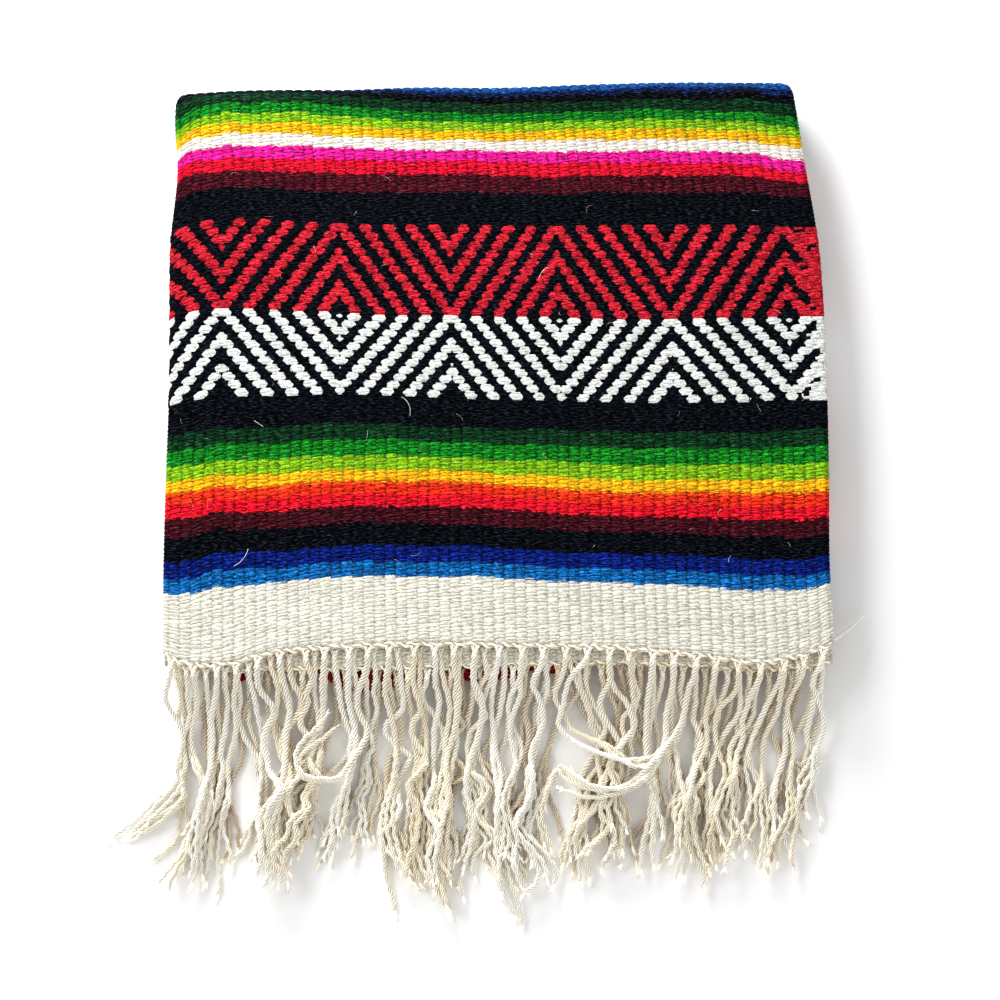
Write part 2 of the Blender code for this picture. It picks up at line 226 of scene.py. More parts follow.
# The stripes bow: how far they lie off a straight line at several distances from the straight hem
BOW_PLACES = (0.0, 0.045, 0.085, 0.120, 0.190, 0.255, 0.285, 0.315, 0.330)
BOW = (
    # x, off at each of the places past the hem, in mm
    (-0.189, -8.6, -6.0, -5.5, -3.0, -6.0, -8.0, -8.5, -1.0),
    (-0.183, -6.8, -3.8, -3.6, 0.2, -2.2, -2.0, -3.2, 2.2),
    (-0.174, -3.4, -2.1, -1.8, 3.0, 0.8, 0.3, 2.4, 4.6),
    (-0.160, 2.9, 1.4, 0.6, 4.6, 3.5, 1.8, 4.7, 5.6),
    (-0.147, 3.2, 1.4, 1.3, 4.7, 4.3, 1.9, 4.4, 6.0),
    (-0.120, -0.1, 0.6, 2.4, 3.6, 2.4, 0.8, 4.9, 5.8),
    (-0.094, 1.5, 2.0, 3.6, 2.6, 0.6, 1.6, 2.3, 3.0),
    (-0.060, 0.5, 1.6, 3.2, 0.4, 0.0, 0.5, -0.6, 0.0),
    (-0.030, 0.0, 1.6, 1.3, 0.5, 0.0, 0.6, -2.2, -2.4),
    (0.000, -0.3, 0.0, 0.3, -0.3, -0.4, -0.2, -2.6, -2.8),
    (0.030, -2.1, -1.8, -0.4, -0.3, -0.8, -0.8, -1.6, -1.6),
    (0.060, -2.0, -3.8, -1.0, -1.6, 0.2, -0.8, -0.8, -1.4),
    (0.095, -1.9, -3.3, -1.8, -1.7, 0.2, -0.8, 0.4, 0.6),
    (0.125, -0.9, -3.0, -1.4, -1.2, 0.1, -1.4, -0.9, 0.2),
    (0.145, -0.3, -3.0, -0.6, -1.0, -0.4, -2.2, -1.6, 1.6),
    (0.160, -2.4, -4.0, 0.8, 0.0, -1.0, -4.6, -3.6, -0.4),
    (0.172, -4.7, -5.0, -0.2, 0.0, -1.7, -6.6, -5.8, -2.4),
)
HEM_Y = -0.1560  # where a straight hem would lie
HEM_REACH = 0.075  # how far from the hem the stripes follow its line
MM = 0.001


def smooth(places, values, at):
    """Values at new places on a soft curve through the given ones."""
    places, values = np.array(places), np.array(values)
    slopes = np.gradient(values, places)
    i = np.clip(np.searchsorted(places, at) - 1, 0, len(places) - 2)
    span = places[i + 1] - places[i]
    t = np.clip((at - places[i]) / span, 0, 1)
    rise = t * t * (3 - 2 * t)
    lift = span * t * (1 - t)
    level = values[i] * (1 - rise) + values[i + 1] * rise
    return level + lift * ((1 - t) * slopes[i] - t * slopes[i + 1])


def read_table(rows, column, at):
    return smooth([row[0] for row in rows], [row[column] for row in rows], at)


def fold_start(x):
    """Where the top begins to turn down into the back fold."""
    return read_table(ENDS, BACK_FOLD, x) - MIDDLE


def bow_at(v, x):
    """How far the weft v along from the hem lies off a straight line at x."""
    off = np.zeros_like(x)
    for i in range(1, len(BOW_PLACES)):
        share = np.interp(v, BOW_PLACES, [i == j for j in range(len(BOW_PLACES))])
        off = off + share * read_table(BOW, i, x)
    return off * MM


def lie_along(v, x, hem, half, to_nose):
    """Place (y, z) of a pair's middle, v along from its hem, and the way out (y, z) from there."""
    hem_off = (read_table(ENDS, hem, x) - HEM_Y) * np.exp(-((v / HEM_REACH) ** 2))
    y = v + HEM_Y + hem_off + bow_at(v, x)
    turn_y = fold_start(x)
    radius = half + LEAF
    past = y - turn_y
    turn = np.clip(past / radius, 0, math.pi)
    under = np.maximum(past - math.pi * radius, 0)
    y = turn_y + np.minimum(past, 0) - under + half * np.sin(turn)
    z = MIDDLE + half * np.cos(turn)
    if to_nose:
        nose_y = NOSE_Y + PAIR + MM * read_table(NOSE_BACK, 1, x)
        nose_past = np.maximum(under - (turn_y - nose_y), 0)
        nose_turn = np.clip(nose_past / (SHEET + LEAF), 0, math.pi)
        inside = np.maximum(nose_past - math.pi * (SHEET + LEAF), 0)
        y = np.where(nose_past > 0, nose_y - SHEET * np.sin(nose_turn) + inside, y)
        z = np.where(nose_past > 0, PAIR - SHEET * np.cos(nose_turn), z)
        turn = turn + nose_turn
    return y, z, np.sin(turn), np.cos(turn)


def lie_of(v, share, aside, out, hem, to_nose, edges):
    """Points of a sheet: v along, share across, then aside and out of the pair's middle."""
    half = MIDDLE - SHEET if hem == UPPER_HEM else MIDDLE - 3 * SHEET
    x = (share - 0.5) * WEB_WIDTH
    for _ in range(SETTLING):
        y, z, out_y, out_z = lie_along(v, x, hem, half, to_nose)
        narrowed = NARROWING * (np.maximum(0, y - fold_start(x)) / MIDDLE) ** 2
        left = read_table(SIDES, LEFT, y) + narrowed + SHEET
        right = read_table(SIDES, RIGHT, y) - narrowed - LEAF
        stands_out = SELVEDGES[edges[0]], SELVEDGES[edges[1]]
        right = right + np.interp(z, (MIDDLE - half, MIDDLE + half), stands_out)
        x = left + (right - left) * share + aside
    return np.column_stack([x, y + out_y * out, z + out_z * out])


def face_section(u, top):
    """Share across, aside and out of a sheet's outer face, round its two edges."""
    curl = np.clip(-u, 0, math.pi * SHEET) / SHEET
    lip = np.clip(u - WEB_WIDTH, 0, math.pi * LEAF) / LEAF
    tuck_left = np.maximum(-u - math.pi * SHEET, 0)
    tuck_right = np.maximum(u - WEB_WIDTH - math.pi * LEAF, 0)
    aside = LEAF * np.sin(lip) - tuck_right - SHEET * np.sin(curl) + tuck_left
    out = top - SHEET * (1 - np.cos(curl)) - LEAF * (1 - np.cos(lip))
    return np.clip(u / WEB_WIDTH, 0, 1), aside, out


def lie_of_face(u, v, hem, to_nose, edges, top=SHEET):
    """Points of a sheet's outer face, whose end rounds over at the hem."""
    share, aside, out = face_section(u, top)
    end = np.clip(HEM_START - v, 0, math.pi * LEAF) / LEAF
    tuck = np.maximum(HEM_START - v - math.pi * LEAF, 0)
    points = lie_of(np.maximum(v, HEM_START), share, aside, out - LEAF * (1 - np.cos(end)),
                    hem, to_nose, edges)
    points[:, 1] += tuck - LEAF * np.sin(end)
    return points


# The weave. Each rib is a weft that passes over two doubled warps; each row is one pick of weft,
# and the picks of two neighbouring ribs lie about half a row apart. The picks lean, and are packed
# a little unevenly. The zigzag band is woven in taller beads, each made of two picks or three.
RIB = 0.00598
PICK = 0.00215
LEAN = 0.32  # rise of a pick across its rib, in picks
RIB_SHIFT, RIB_TURN = 0.22, 2.4  # how the rows of each rib lie off those of the next
PACKING, PACKING_SPAN, PACKING_TURN = 0.20, 0.0093, 1.7
CROWDING, CROWDING_SPAN, CROWDING_TURN = 0.09, 0.0041, 4.1
LENS_END, LENS_BULGE = 0.33, 0.22  # half width of a pick at its sides, and its swell
RIB_RELIEF = 0.00042
PICK_RELIEF = 0.00036
BEAD_RELIEF = 0.00080
YARN_RELIEF = 0.00032
BAND_START, BAND_MIDDLE, BAND_END = 0.1399, 0.1895, 0.2452  # the zigzag band, along from the hem
BEAD_ROWS = 11  # rows of beads on either side of the band's middle
WHITE_BEAD = (BAND_MIDDLE - BAND_START) / BEAD_ROWS  # height of a row on each side
RED_BEAD = (BAND_END - BAND_MIDDLE) / BEAD_ROWS
NEXT_BAND = 0.3285  # the second zigzag band, this much further along
CHEVRON_FIRST = 0.0265  # the first column where the chevrons meet, from the turned edge
CHEVRON_HALF = 0.0640  # from there to the middle of a diamond
STRIPE = 0.01345  # spacing of the slanted stripes across the web
WHITE_RISE, RED_RISE = 0.0169, 0.0202  # and along it
DRIFT = 0.0026  # the columns drift this far from even spacing
DRIFT_SPAN = 0.320
REACH = 0.234  # where a coloured bead ends, in stripes
BEAD_LENS = 0.044  # and how much sooner it ends at its lower and upper sides
SLOPING = 0.30  # how far the side of a bead slopes with its stripe
BEAD_EDGE = 0.15  # width over which a bead rises from its side, in stripes
BEAD_FLAT = 0.6  # share of its height that a bead has at its lower and upper sides
ON_LINE = 1e-6  # a place this near the line between two ribs is in the next


def in_band(v):
    """Place along the web, with the second zigzag band laid on the first."""
    return v - NEXT_BAND * (v > (BAND_END + BAND_START + NEXT_BAND) / 2)


def rib_at(u):
    """Number of the rib at a place across the web, and how far across that rib the place is."""
    rib = np.floor(u / RIB + ON_LINE)
    return rib, u / RIB - rib


def row_shift(u, v):
    """How far the rows of picks lie off an even count at a place, in picks."""
    rib, in_rib = rib_at(u)
    packing = PACKING * np.sin(math.tau * v / PACKING_SPAN + PACKING_TURN * rib)
    packing = packing + CROWDING * np.sin(math.tau * v / CROWDING_SPAN + CROWDING_TURN * rib)
    return 0.5 * (rib % 2) + RIB_SHIFT * np.sin(RIB_TURN * rib) + packing - LEAN * (in_rib - 0.5)


def weave_relief(u, v):
    """Height of the woven surface over its lowest lines."""
    _, in_rib = rib_at(u)
    row = v / PICK + row_shift(u, v)
    pick = 1 - (2 * (row - np.floor(row)) - 1) ** 2
    across = np.maximum(1 - (np.abs(in_rib - 0.5) / (LENS_END + LENS_BULGE * pick)) ** 4, 0)
    plain = RIB_RELIEF * across + PICK_RELIEF * across * pick
    past = in_band(v) - BAND_MIDDLE
    bead = np.where(past > 0, RED_BEAD, WHITE_BEAD)
    in_bead = past / bead - np.floor(past / bead)
    up = (np.floor(past / bead) + 0.5 + SLOPING * (in_bead - 0.5)) * bead
    even = u - CHEVRON_FIRST - DRIFT * np.sin(math.tau * (u - CHEVRON_FIRST) / DRIFT_SPAN)
    along = even - np.floor(even / (2 * CHEVRON_HALF)) * 2 * CHEVRON_HALF
    phase = np.minimum(along, 2 * CHEVRON_HALF - along) / STRIPE
    phase = phase - np.maximum(up / RED_RISE, -up / WHITE_RISE)
    from_side = np.abs(np.abs(phase - np.round(phase)) - REACH)
    body = np.clip(from_side / BEAD_EDGE, 0, 1) ** 0.5
    round_bead = BEAD_FLAT + (1 - BEAD_FLAT) * np.sqrt(1 - (2 * in_bead - 1) ** 2)
    beads = BEAD_RELIEF * body * round_bead + YARN_RELIEF * pick
    woven = (in_band(v) > BAND_START) & (in_band(v) < BAND_END)
    return np.where(woven, beads, plain)


# A woven sheet. Each stretch of web is a grid of points that follows its ribs and picks, laid in
# its fold. On it the weave is raised, and then the soft hollows and ridges of folding and handling.
CREASES = (
    # x, y, turned by degrees, half length, half width, height
    (-0.120, -0.020, 85, 0.110, 0.010, -0.0009),
    (-0.040, 0.060, 78, 0.090, 0.014, 0.0008),
    (0.050, -0.050, 94, 0.100, 0.012, -0.0010),
    (0.120, 0.030, 82, 0.120, 0.011, 0.0009),
    (0.165, -0.020, 88, 0.110, 0.008, -0.0008),
    (-0.165, 0.050, 96, 0.090, 0.008, 0.0007),
    (-0.060, -0.120, 12, 0.070, 0.012, -0.0007),
    (0.090, -0.128, -8, 0.080, 0.013, 0.0008),
    (0.010, 0.120, 4, 0.120, 0.012, -0.0008),
    (0.130, 0.115, -14, 0.060, 0.010, 0.0007),
)
CREASE_FADE = 8  # the power of its height in the stack by which a sheet shows the creases


def crease_height(x, y):
    """How far the creases lift the cloth at a place, or lower it."""
    height = np.zeros_like(x)
    for at_x, at_y, turned, length, width, rise in CREASES:
        c, s = math.cos(math.radians(turned)), math.sin(math.radians(turned))
        along = (x - at_x) * c + (y - at_y) * s
        across = (y - at_y) * c - (x - at_x) * s
        height += rise * np.exp(-((along / length) ** 4) - (across / width) ** 2)
    return height


def join_columns(*stretches):
    """The columns of points of several stretches, each column once."""
    return np.unique(np.round(np.concatenate(stretches), 7))


def rows_between(start, end):
    """Rows of points, two to a pick, from one place along the web to another."""
    return np.arange(round(start / PICK * 2), round(end / PICK * 2) + 1) * PICK / 2


def write_places(mesh, name, places):
    """A UV map that gives each point its place on the web or round and along a cord."""
    corners = np.empty(len(mesh.loops), int)
    mesh.loops.foreach_get("vertex_index", corners)
    mesh.uv_layers.new(name=name).uv.foreach_set("vector", places[corners].ravel())


def weave_sheet(name, columns, rows, *lie):
    """A stretch of web, laid as lie_of_face says, with its weave raised."""
    bm = bmesh.new()
    segments = len(columns) - 1, len(rows) - 1
    bmesh.ops.create_grid(bm, x_segments=segments[0], y_segments=segments[1], size=0.5)
    mesh = mesh_of(bm, name)
    count = len(mesh.vertices)
    at = np.empty(count * 3)
    mesh.vertices.foreach_get("co", at)
    at = at.reshape(count, 3)
    u = columns[np.round((at[:, 0] + 0.5) * segments[0]).astype(int)]
    v = rows[np.round((at[:, 1] + 0.5) * segments[1]).astype(int)]
    rib, in_rib = rib_at(u)
    v = v - np.where(in_rib > ON_LINE, row_shift(u, v) - 0.5 * (rib % 2), 0) * PICK
    points = lie_of_face(u, v, *lie)
    mesh.vertices.foreach_set("co", points.ravel())
    mesh.update()
    normals = np.empty(count * 3)
    mesh.vertices.foreach_get("normal", normals)
    normals = normals.reshape(count, 3)
    points = points + normals * (weave_relief(u, v) - RIB_RELIEF)[:, None]
    creased = np.clip(points[:, 2] / HEIGHT, 0, 1) ** CREASE_FADE
    points[:, 2] += crease_height(points[:, 0], points[:, 1]) * creased
    points[:, 2] = np.maximum(points[:, 2], 0)
    mesh.vertices.foreach_set("co", points.ravel())
    write_places(mesh, "woven place", np.column_stack([u, v]))
    mesh.shade_smooth()
    mesh.update()
    piece = add_object(name, mesh)
    piece.data.materials.append(wool)
    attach(piece, "root")
    return piece


# Dyed wool weft. Hand-spun wool is matt, with a faint pale bloom of loose hairs; it shows as short
# leaning grains, each a little lighter or darker than its neighbours, with painted shade darkening
# the thin gaps between them.
BANDS = (
    # width in mm, colour, from the hem to the middle of the web
    (38.0, "#E2DFD0"), (8.3, "#0E5EA2"), (8.7, "#05196A"), (12.5, "#020409"), (9.3, "#3C0A14"),
    (7.0, "#DC1022"), (5.2, "#E82C14"), (1.6, "#EC5012"), (6.3, "#F0AE12"), (7.8, "#7AB014"),
    (8.8, "#107618"), (8.9, "#093016"), (17.5, "#020409"), (105.3, "#020409"), (20.1, "#020409"),
    (11.2, "#420A16"), (8.2, "#D40E28"), (6.9, "#E41A8A"), (7.0, "#E2DAD0"), (6.9, "#E4AC10"),
    (5.7, "#7AAE14"), (5.8, "#107018"), (6.6, "#082C14"), (4.4, "#020305"), (3.2, "#06153E"),
    (7.8, "#0C3E78"), (22.0, "#4C9CD2"), (7.8, "#105FA8"), (9.2, "#05196A"), (12.0, "#020409"),
    (9.6, "#3C0A14"), (7.0, "#DC1428"), (6.4, "#EA3A14"), (6.5, "#F0B814"), (7.4, "#80B616"),
    (8.8, "#127A1A"), (8.9, "#0A3418"), (13.8, "#030407"), (105.3, "#030407"), (20.1, "#030407"),
    (11.2, "#420A16"), (8.2, "#E0102C"), (6.9, "#F01C94"), (7.0, "#F2E8DC"), (6.9, "#ECB412"),
    (5.7, "#80B616"), (5.8, "#127A1A"), (14.0, "#030407"), (13.0, "#420A16"), (70.0, "#9A1C24"),
)
WEB_HALF = 0.6945  # from the hem to the middle of the web
FOLLOWING = 0.60  # how far the edge of a stripe keeps to whole picks
RAMP_SPAN = 0.120  # stretch of web that one colour ramp covers, for crisp stripe edges

wool, tree, shader = new_material("dyed wool weft", Roughness=1.0, Specular_IOR_Level=0.01)
shader.inputs["Sheen Weight"].default_value = 0.008
shader.inputs["Sheen Roughness"].default_value = 0.6
woven_place = add_node(tree, "UVMap", {"uv_map": "woven place"})
woven = add_node(tree, "SeparateXYZ", inputs={"Vector": woven_place})
value = {"u": woven.outputs["X"], "v": woven.outputs["Y"]}


def add_step(operation, *inputs):
    """A Math node. Each input is a number, the name of an earlier step, or a step of its own."""
    linked = {i: add_step(*source) if isinstance(source, tuple) else value.get(source, source)
              for i, source in enumerate(inputs)}
    return add_node(tree, "Math", {"operation": operation}, linked)


def add_steps(steps):
    """Named steps, one for each row of name, operation and inputs."""
    for name, *step in steps:
        value[name] = add_step(*step)


def dome_steps(name, place):
    """Steps for a dome that is 0 where a place within a row is 0 or 1, and 1 at its middle."""
    return ((name + " side", "MULTIPLY_ADD", place, 2.0, -1.0),
            (name + " square", "MULTIPLY", name + " side", name + " side"),
            (name, "SUBTRACT", 1.0, name + " square"))


# The rib and the row of a place, and how far it is along the stripes, counted in from either end
add_steps((
    ("rib", "DIVIDE", "u", RIB),
    ("rib number", "FLOOR", "rib"),
    ("half row", "MULTIPLY", ("FLOORED_MODULO", "rib number", 2.0), 0.5),
    ("rib sine", "SINE", ("MULTIPLY", "rib number", RIB_TURN)),
    ("rib shift", "MULTIPLY_ADD", "rib sine", RIB_SHIFT, "half row"),
    ("packing start", "MULTIPLY", "rib number", PACKING_TURN),
    ("packing sine", "SINE", ("MULTIPLY_ADD", "v", math.tau / PACKING_SPAN, "packing start")),
    ("loosely packed", "MULTIPLY_ADD", "packing sine", PACKING, "rib shift"),
    ("crowding start", "MULTIPLY", "rib number", CROWDING_TURN),
    ("crowding angle", "MULTIPLY_ADD", "v", math.tau / CROWDING_SPAN, "crowding start"),
    ("packed", "MULTIPLY_ADD", ("SINE", "crowding angle"), CROWDING, "loosely packed"),
    ("from rib middle", "SUBTRACT", ("FRACT", "rib"), 0.5),
    ("shift", "MULTIPLY_ADD", "from rib middle", -LEAN, "packed"),
    ("from end", "SUBTRACT", WEB_HALF, ("ABSOLUTE", ("SUBTRACT", "v", WEB_HALF))),
    ("row", "MULTIPLY_ADD", "v", 1 / PICK, "shift"),
    ("row number", "FLOOR", "row"),
    ("in row", "FRACT", "row"),
    ("pick step", "MULTIPLY", ("SUBTRACT", "in row", 0.5), -PICK * FOLLOWING),
    ("stripe place", "ADD", "pick step", "from end"),
))
# A chance for each rib, each row and each grain
grain_place = add_node(tree, "CombineXYZ",
                       inputs={"X": value["rib number"], "Y": value["row number"]})
for name, dimensions, socket, place in (("rib chance", "1D", "W", value["rib number"]),
                                        ("row chance", "1D", "W", value["row number"]),
                                        ("grain chance", "2D", "Vector", grain_place)):
    value[name] = add_node(tree, "TexWhiteNoise", {"noise_dimensions": dimensions}, {socket: place})
value["wander"] = add_node(tree, "TexNoise",
                           inputs={"Vector": woven_place, "Scale": 26.0, "Detail": 2.0})
# Fibres drawn out along the weft, about 0.3 mm thick here so that they show, and specks of fluff
for name, per_metre, turned, detail in (("streaks", (330.0, 1700.0, 1.0), -0.10, 3.0),
                                        ("specks", (1000.0, 1300.0, 1.0), 0.0, 2.0)):
    place = add_node(tree, "Mapping", inputs={"Vector": woven_place, "Scale": per_metre,
                                              "Rotation": (0.0, 0.0, turned)})
    value[name] = add_node(tree, "TexNoise",
                           inputs={"Vector": place, "Scale": 1.0, "Detail": detail})
WAVER = 0.0030  # how far the stripe edges wander, and how far they step from rib to rib
RIB_STEP = 0.0010
FUZZ = 0.0042  # how far loose fibres carry the colour of a stripe into the next
SELVEDGE_START = WEB_WIDTH - 0.0135  # the bands' edge picks are coloured from here on
EDGE_RAGGED = 0.0145  # or from up to this much nearer the edge
SAME = 0.2  # row numbers this near to each other are the same
APEX_HALF = 0.0030  # half width of the beads that the first row leaves out
CORE_BULGE, CORE_HALF = 0.0060, 0.0017  # swell and half width of the dot in a diamond's core
# Where the edges of the stripes fall, and which beads of the zigzag bands are coloured
add_steps((
    ("wander about", "SUBTRACT", "wander", 0.5),
    ("wandered", "MULTIPLY_ADD", "wander about", WAVER, "stripe place"),
    ("stepped", "MULTIPLY_ADD", ("SUBTRACT", "rib chance", 0.5), RIB_STEP, "wandered"),
    ("fuzzed", "MULTIPLY_ADD", ("SUBTRACT", "streaks", 0.5), FUZZ, "stepped"),
    ("beyond", "GREATER_THAN", "from end", (BAND_END + BAND_START + NEXT_BAND) / 2),
    ("band place", "MULTIPLY_ADD", "beyond", -NEXT_BAND, "from end"),
    ("past band middle", "SUBTRACT", "band place", BAND_MIDDLE),
    ("red", "GREATER_THAN", "past band middle", 0.0),
    ("bead", "MULTIPLY_ADD", "red", RED_BEAD - WHITE_BEAD, WHITE_BEAD),
    ("bead row", "DIVIDE", "past band middle", "bead"),
    ("in bead", "FRACT", "bead row"),
    ("bead middle", "ADD", ("FLOOR", "bead row"), 0.5),
    ("sloping", "MULTIPLY_ADD", ("SUBTRACT", "in bead", 0.5), SLOPING, "bead middle"),
    ("up", "MULTIPLY", "sloping", "bead"),
    ("rise", "MAXIMUM", ("DIVIDE", "up", RED_RISE), ("DIVIDE", "up", -WHITE_RISE)),
    ("from first", "SUBTRACT", "u", CHEVRON_FIRST),
    ("drift", "SINE", ("MULTIPLY", "from first", math.tau / DRIFT_SPAN)),
    ("from apex", "PINGPONG", ("MULTIPLY_ADD", "drift", -DRIFT, "from first"), CHEVRON_HALF),
    ("off stripe", "PINGPONG", ("SUBTRACT", ("DIVIDE", "from apex", STRIPE), "rise"), 0.5),
    ("reach", "MULTIPLY_ADD", ("COSINE", ("MULTIPLY", "in bead", math.tau)), -BEAD_LENS, REACH),
    ("wandering reach", "MULTIPLY_ADD", "wander about", 0.12, "reach"),
    ("chance about", "SUBTRACT", "grain chance", 0.5),
    ("ragged reach", "MULTIPLY_ADD", "chance about", 0.075, "wandering reach"),
    ("under apex", "LESS_THAN", "from apex", APEX_HALF),
    ("left out", "MULTIPLY", ("COMPARE", "bead middle", 0.5 - BEAD_ROWS, SAME), "under apex"),
    ("in stripe a", "SUBTRACT", ("LESS_THAN", "off stripe", "ragged reach"), "left out"),
    ("edge from", "MULTIPLY", "row chance", EDGE_RAGGED),
    ("edge pick", "GREATER_THAN", ("SUBTRACT", "u", SELVEDGE_START), "edge from"),
    *dome_steps("bead dome", "in bead"),
    ("near core", "MULTIPLY_ADD", "bead dome", CORE_BULGE, "from apex"),
    ("at core", "GREATER_THAN", "near core", CHEVRON_HALF + CORE_BULGE - CORE_HALF),
    ("dot", "MULTIPLY", "at core", ("COMPARE", "bead middle", -0.5, SAME)),
    ("coloured", "MAXIMUM", ("MAXIMUM", "in stripe a", "edge pick"), "dot"),
    ("before end", "LESS_THAN", "band place", BAND_END),
    ("banded", "MULTIPLY", ("GREATER_THAN", "band place", BAND_START), "before end"),
    ("bead shown", "MULTIPLY", "banded", "coloured"),
))

# The stripes along the web, from the bands, in one colour ramp after another
stripes = None
band_edges = np.concatenate([[0], np.cumsum([width for width, _ in BANDS])]) / 1000
for first in np.arange(0, WEB_HALF, RAMP_SPAN):
    shown = [i for i in range(len(BANDS))
             if band_edges[i] < first + RAMP_SPAN and band_edges[i + 1] > first]
    add_steps((("along ramp", "SUBTRACT", "fuzzed", float(first)),
               ("ramp share", "DIVIDE", "along ramp", RAMP_SPAN),
               ("reached", "GREATER_THAN", "along ramp", 0.0)))
    ramp = add_node(tree, "ValToRGB", inputs={"Fac": value["ramp share"]})
    ramp.color_ramp.interpolation = "CONSTANT"
    ramp.color_ramp.elements.remove(ramp.color_ramp.elements[1])
    ramp.color_ramp.elements[0].color = linear(BANDS[shown[0]][1])
    for i in shown[1:]:
        place = (band_edges[i] - first) / RAMP_SPAN
        ramp.color_ramp.elements.new(place).color = linear(BANDS[i][1])
    if stripes is None:
        stripes = ramp.outputs["Color"]
    else:
        stripes = add_node(tree, "Mix", {"data_type": "RGBA"},
                           {0: value["reached"], 6: stripes, 7: ramp}).outputs[2]

WHITE_YARN, RED_YARN, BLOOM = linear("#D9DBD7"), linear("#B61C2A"), linear("#7C869A")
white_or_red = add_node(tree, "Mix", {"data_type": "RGBA"},
                        {0: value["red"], 6: WHITE_YARN, 7: RED_YARN})
dyed = add_node(tree, "Mix", {"data_type": "RGBA"},
                {0: value["bead shown"], 6: stripes, 7: white_or_red.outputs[2]})

# Painted shade: the gaps between picks, and between the yarns of the beads, are darkened in the
# colour, less in pale dyes, where light bouncing between picks would fill them, and more in dark
# ones. Each shade below multiplies the dyed colour: the gap shade is painted shade, and the
# streaks, specks and grain chance are the yarn's own tone. The bloom of pale hairs is added to it.
GRAIN_HEIGHT, FIBRE_HEIGHT, SPECK_HEIGHT = 0.00030, 0.00026, 0.00012
value["lightness"] = add_node(tree, "RGBToBW", inputs={"Color": dyed.outputs[2]})
add_steps((
    *dome_steps("row dome", "in row"),
    ("lens half", "MULTIPLY_ADD", "row dome", LENS_BULGE, LENS_END),
    ("rib fourth", "POWER", ("DIVIDE", ("ABSOLUTE", "from rib middle"), "lens half"), 4.0),
    ("grain dome", "MULTIPLY", "row dome", ("MAXIMUM", ("SUBTRACT", 1.0, "rib fourth"), 0.0)),
    ("bead body", "MULTIPLY", ("ABSOLUTE", ("SUBTRACT", "off stripe", "ragged reach")), 10.0),
    ("bead full", "MINIMUM", "bead body", 1.0),
    ("bead part", "MULTIPLY", ("MULTIPLY_ADD", "bead dome", 0.20, 0.04), "bead full"),
    ("bead yarn", "MULTIPLY_ADD", "row dome", 0.74, "bead part"),
    ("dome", "MULTIPLY_ADD", "banded", ("SUBTRACT", "bead yarn", "grain dome"), "grain dome"),
    # painted shade: darkens the gaps between picks and between yarns, deeper for dark dyes
    ("gap shade", "MULTIPLY_ADD", ("POWER", "dome", 0.42), 0.62, 0.46),
    ("shade a", "MULTIPLY", "gap shade", ("MULTIPLY_ADD", "streaks", 3.00, -0.50)),
    ("shade b", "MULTIPLY", "shade a", ("MULTIPLY_ADD", "specks", 1.90, 0.05)),
    ("shade c", "MULTIPLY", "shade b", ("MULTIPLY_ADD", "grain chance", 0.30, 0.83)),
    ("shade", "POWER", ("MAXIMUM", "shade c", 0.15), ("MULTIPLY_ADD", "lightness", -1.9, 2.1)),
    ("bloom", "MAXIMUM", ("MULTIPLY", ("SUBTRACT", "streaks", 0.53), 0.62), 0.0),
    ("relief b", "MULTIPLY_ADD", "streaks", FIBRE_HEIGHT, ("MULTIPLY", "dome", GRAIN_HEIGHT)),
    ("relief", "MULTIPLY_ADD", "specks", SPECK_HEIGHT, "relief b"),
))


def cover(tree, shader, colour, height):
    """Give a shader its colour, and a bump from a height in metres."""
    bumped = add_node(tree, "Bump", inputs={"Strength": 1.0, "Distance": 1.0, "Height": height})
    tree.links.new(colour, shader.inputs["Base Color"])
    tree.links.new(bumped.outputs[0], shader.inputs["Normal"])


shaded = add_node(tree, "VectorMath", {"operation": "SCALE"},
                  {"Vector": dyed.outputs[2], "Scale": value["shade"]})
bloomed = add_node(tree, "Mix", {"data_type": "RGBA", "blend_type": "ADD"},
                   {0: value["bloom"], 6: shaded, 7: BLOOM})
cover(tree, shader, bloomed.outputs[2], value["relief"])


# The top of the web: the upper sheet from the upper hem to the end of the back fold, with its left
# edge turned over the sheet below it and its selvedge rounded at the right.
OUTER_PAIR = UPPER_HEM, True, (0, 7)  # hem, whether it turns at the middle fold, its two selvedges
RIBS, COLUMNS_A_RIB = 61, 4
TUCK = 0.0015  # how far a rounded edge goes on past its turn
across_web = np.arange(RIBS * COLUMNS_A_RIB) / COLUMNS_A_RIB * RIB
round_left = -np.linspace(0, math.pi * SHEET + TUCK, 9)
round_right = WEB_WIDTH + np.linspace(0, math.pi * LEAF + TUCK, 6)
all_columns = join_columns(round_left, across_web, round_right)
HEM_TUCK = -PICK  # a sheet starts a pick below the line of its hem
TOP_LENGTH = 0.3240
FOLD_LENGTH = math.pi * (MIDDLE - LEAF)
top_rows = rows_between(HEM_TUCK, TOP_LENGTH + FOLD_LENGTH)
web_top = weave_sheet("web_top", all_columns, top_rows, *OUTER_PAIR)
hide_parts("outer_cloth")


# The underside: the same sheet going forward along the table. It is pressed flat there, so only
# its turned edge and its selvedge keep their full roundness.
UNDERSIDE_LENGTH = 0.335
KEPT = 2 * COLUMNS_A_RIB  # columns that stay at either side, with one to a rib between them
under_columns = join_columns(round_left, across_web[:KEPT], across_web[KEPT:-KEPT:COLUMNS_A_RIB],
                             across_web[-KEPT:], round_right)
under_end = top_rows[-1] + UNDERSIDE_LENGTH
under_rows = rows_between(top_rows[-1], under_end)
web_underside = weave_sheet("web_underside", under_columns, under_rows, *OUTER_PAIR)
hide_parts("outer_cloth")


# The middle fold: the rounded fold at the bottom in front, where the web turns up from the table.
# It is the middle of the whole web, and the dark red there shows between the roots of the fringe.
MIDDLE_LENGTH = 0.030
fold_rows = rows_between(under_end, under_end + MIDDLE_LENGTH)
middle_fold = weave_sheet("middle_fold", all_columns, fold_rows, *OUTER_PAIR)
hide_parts("outer_cloth")


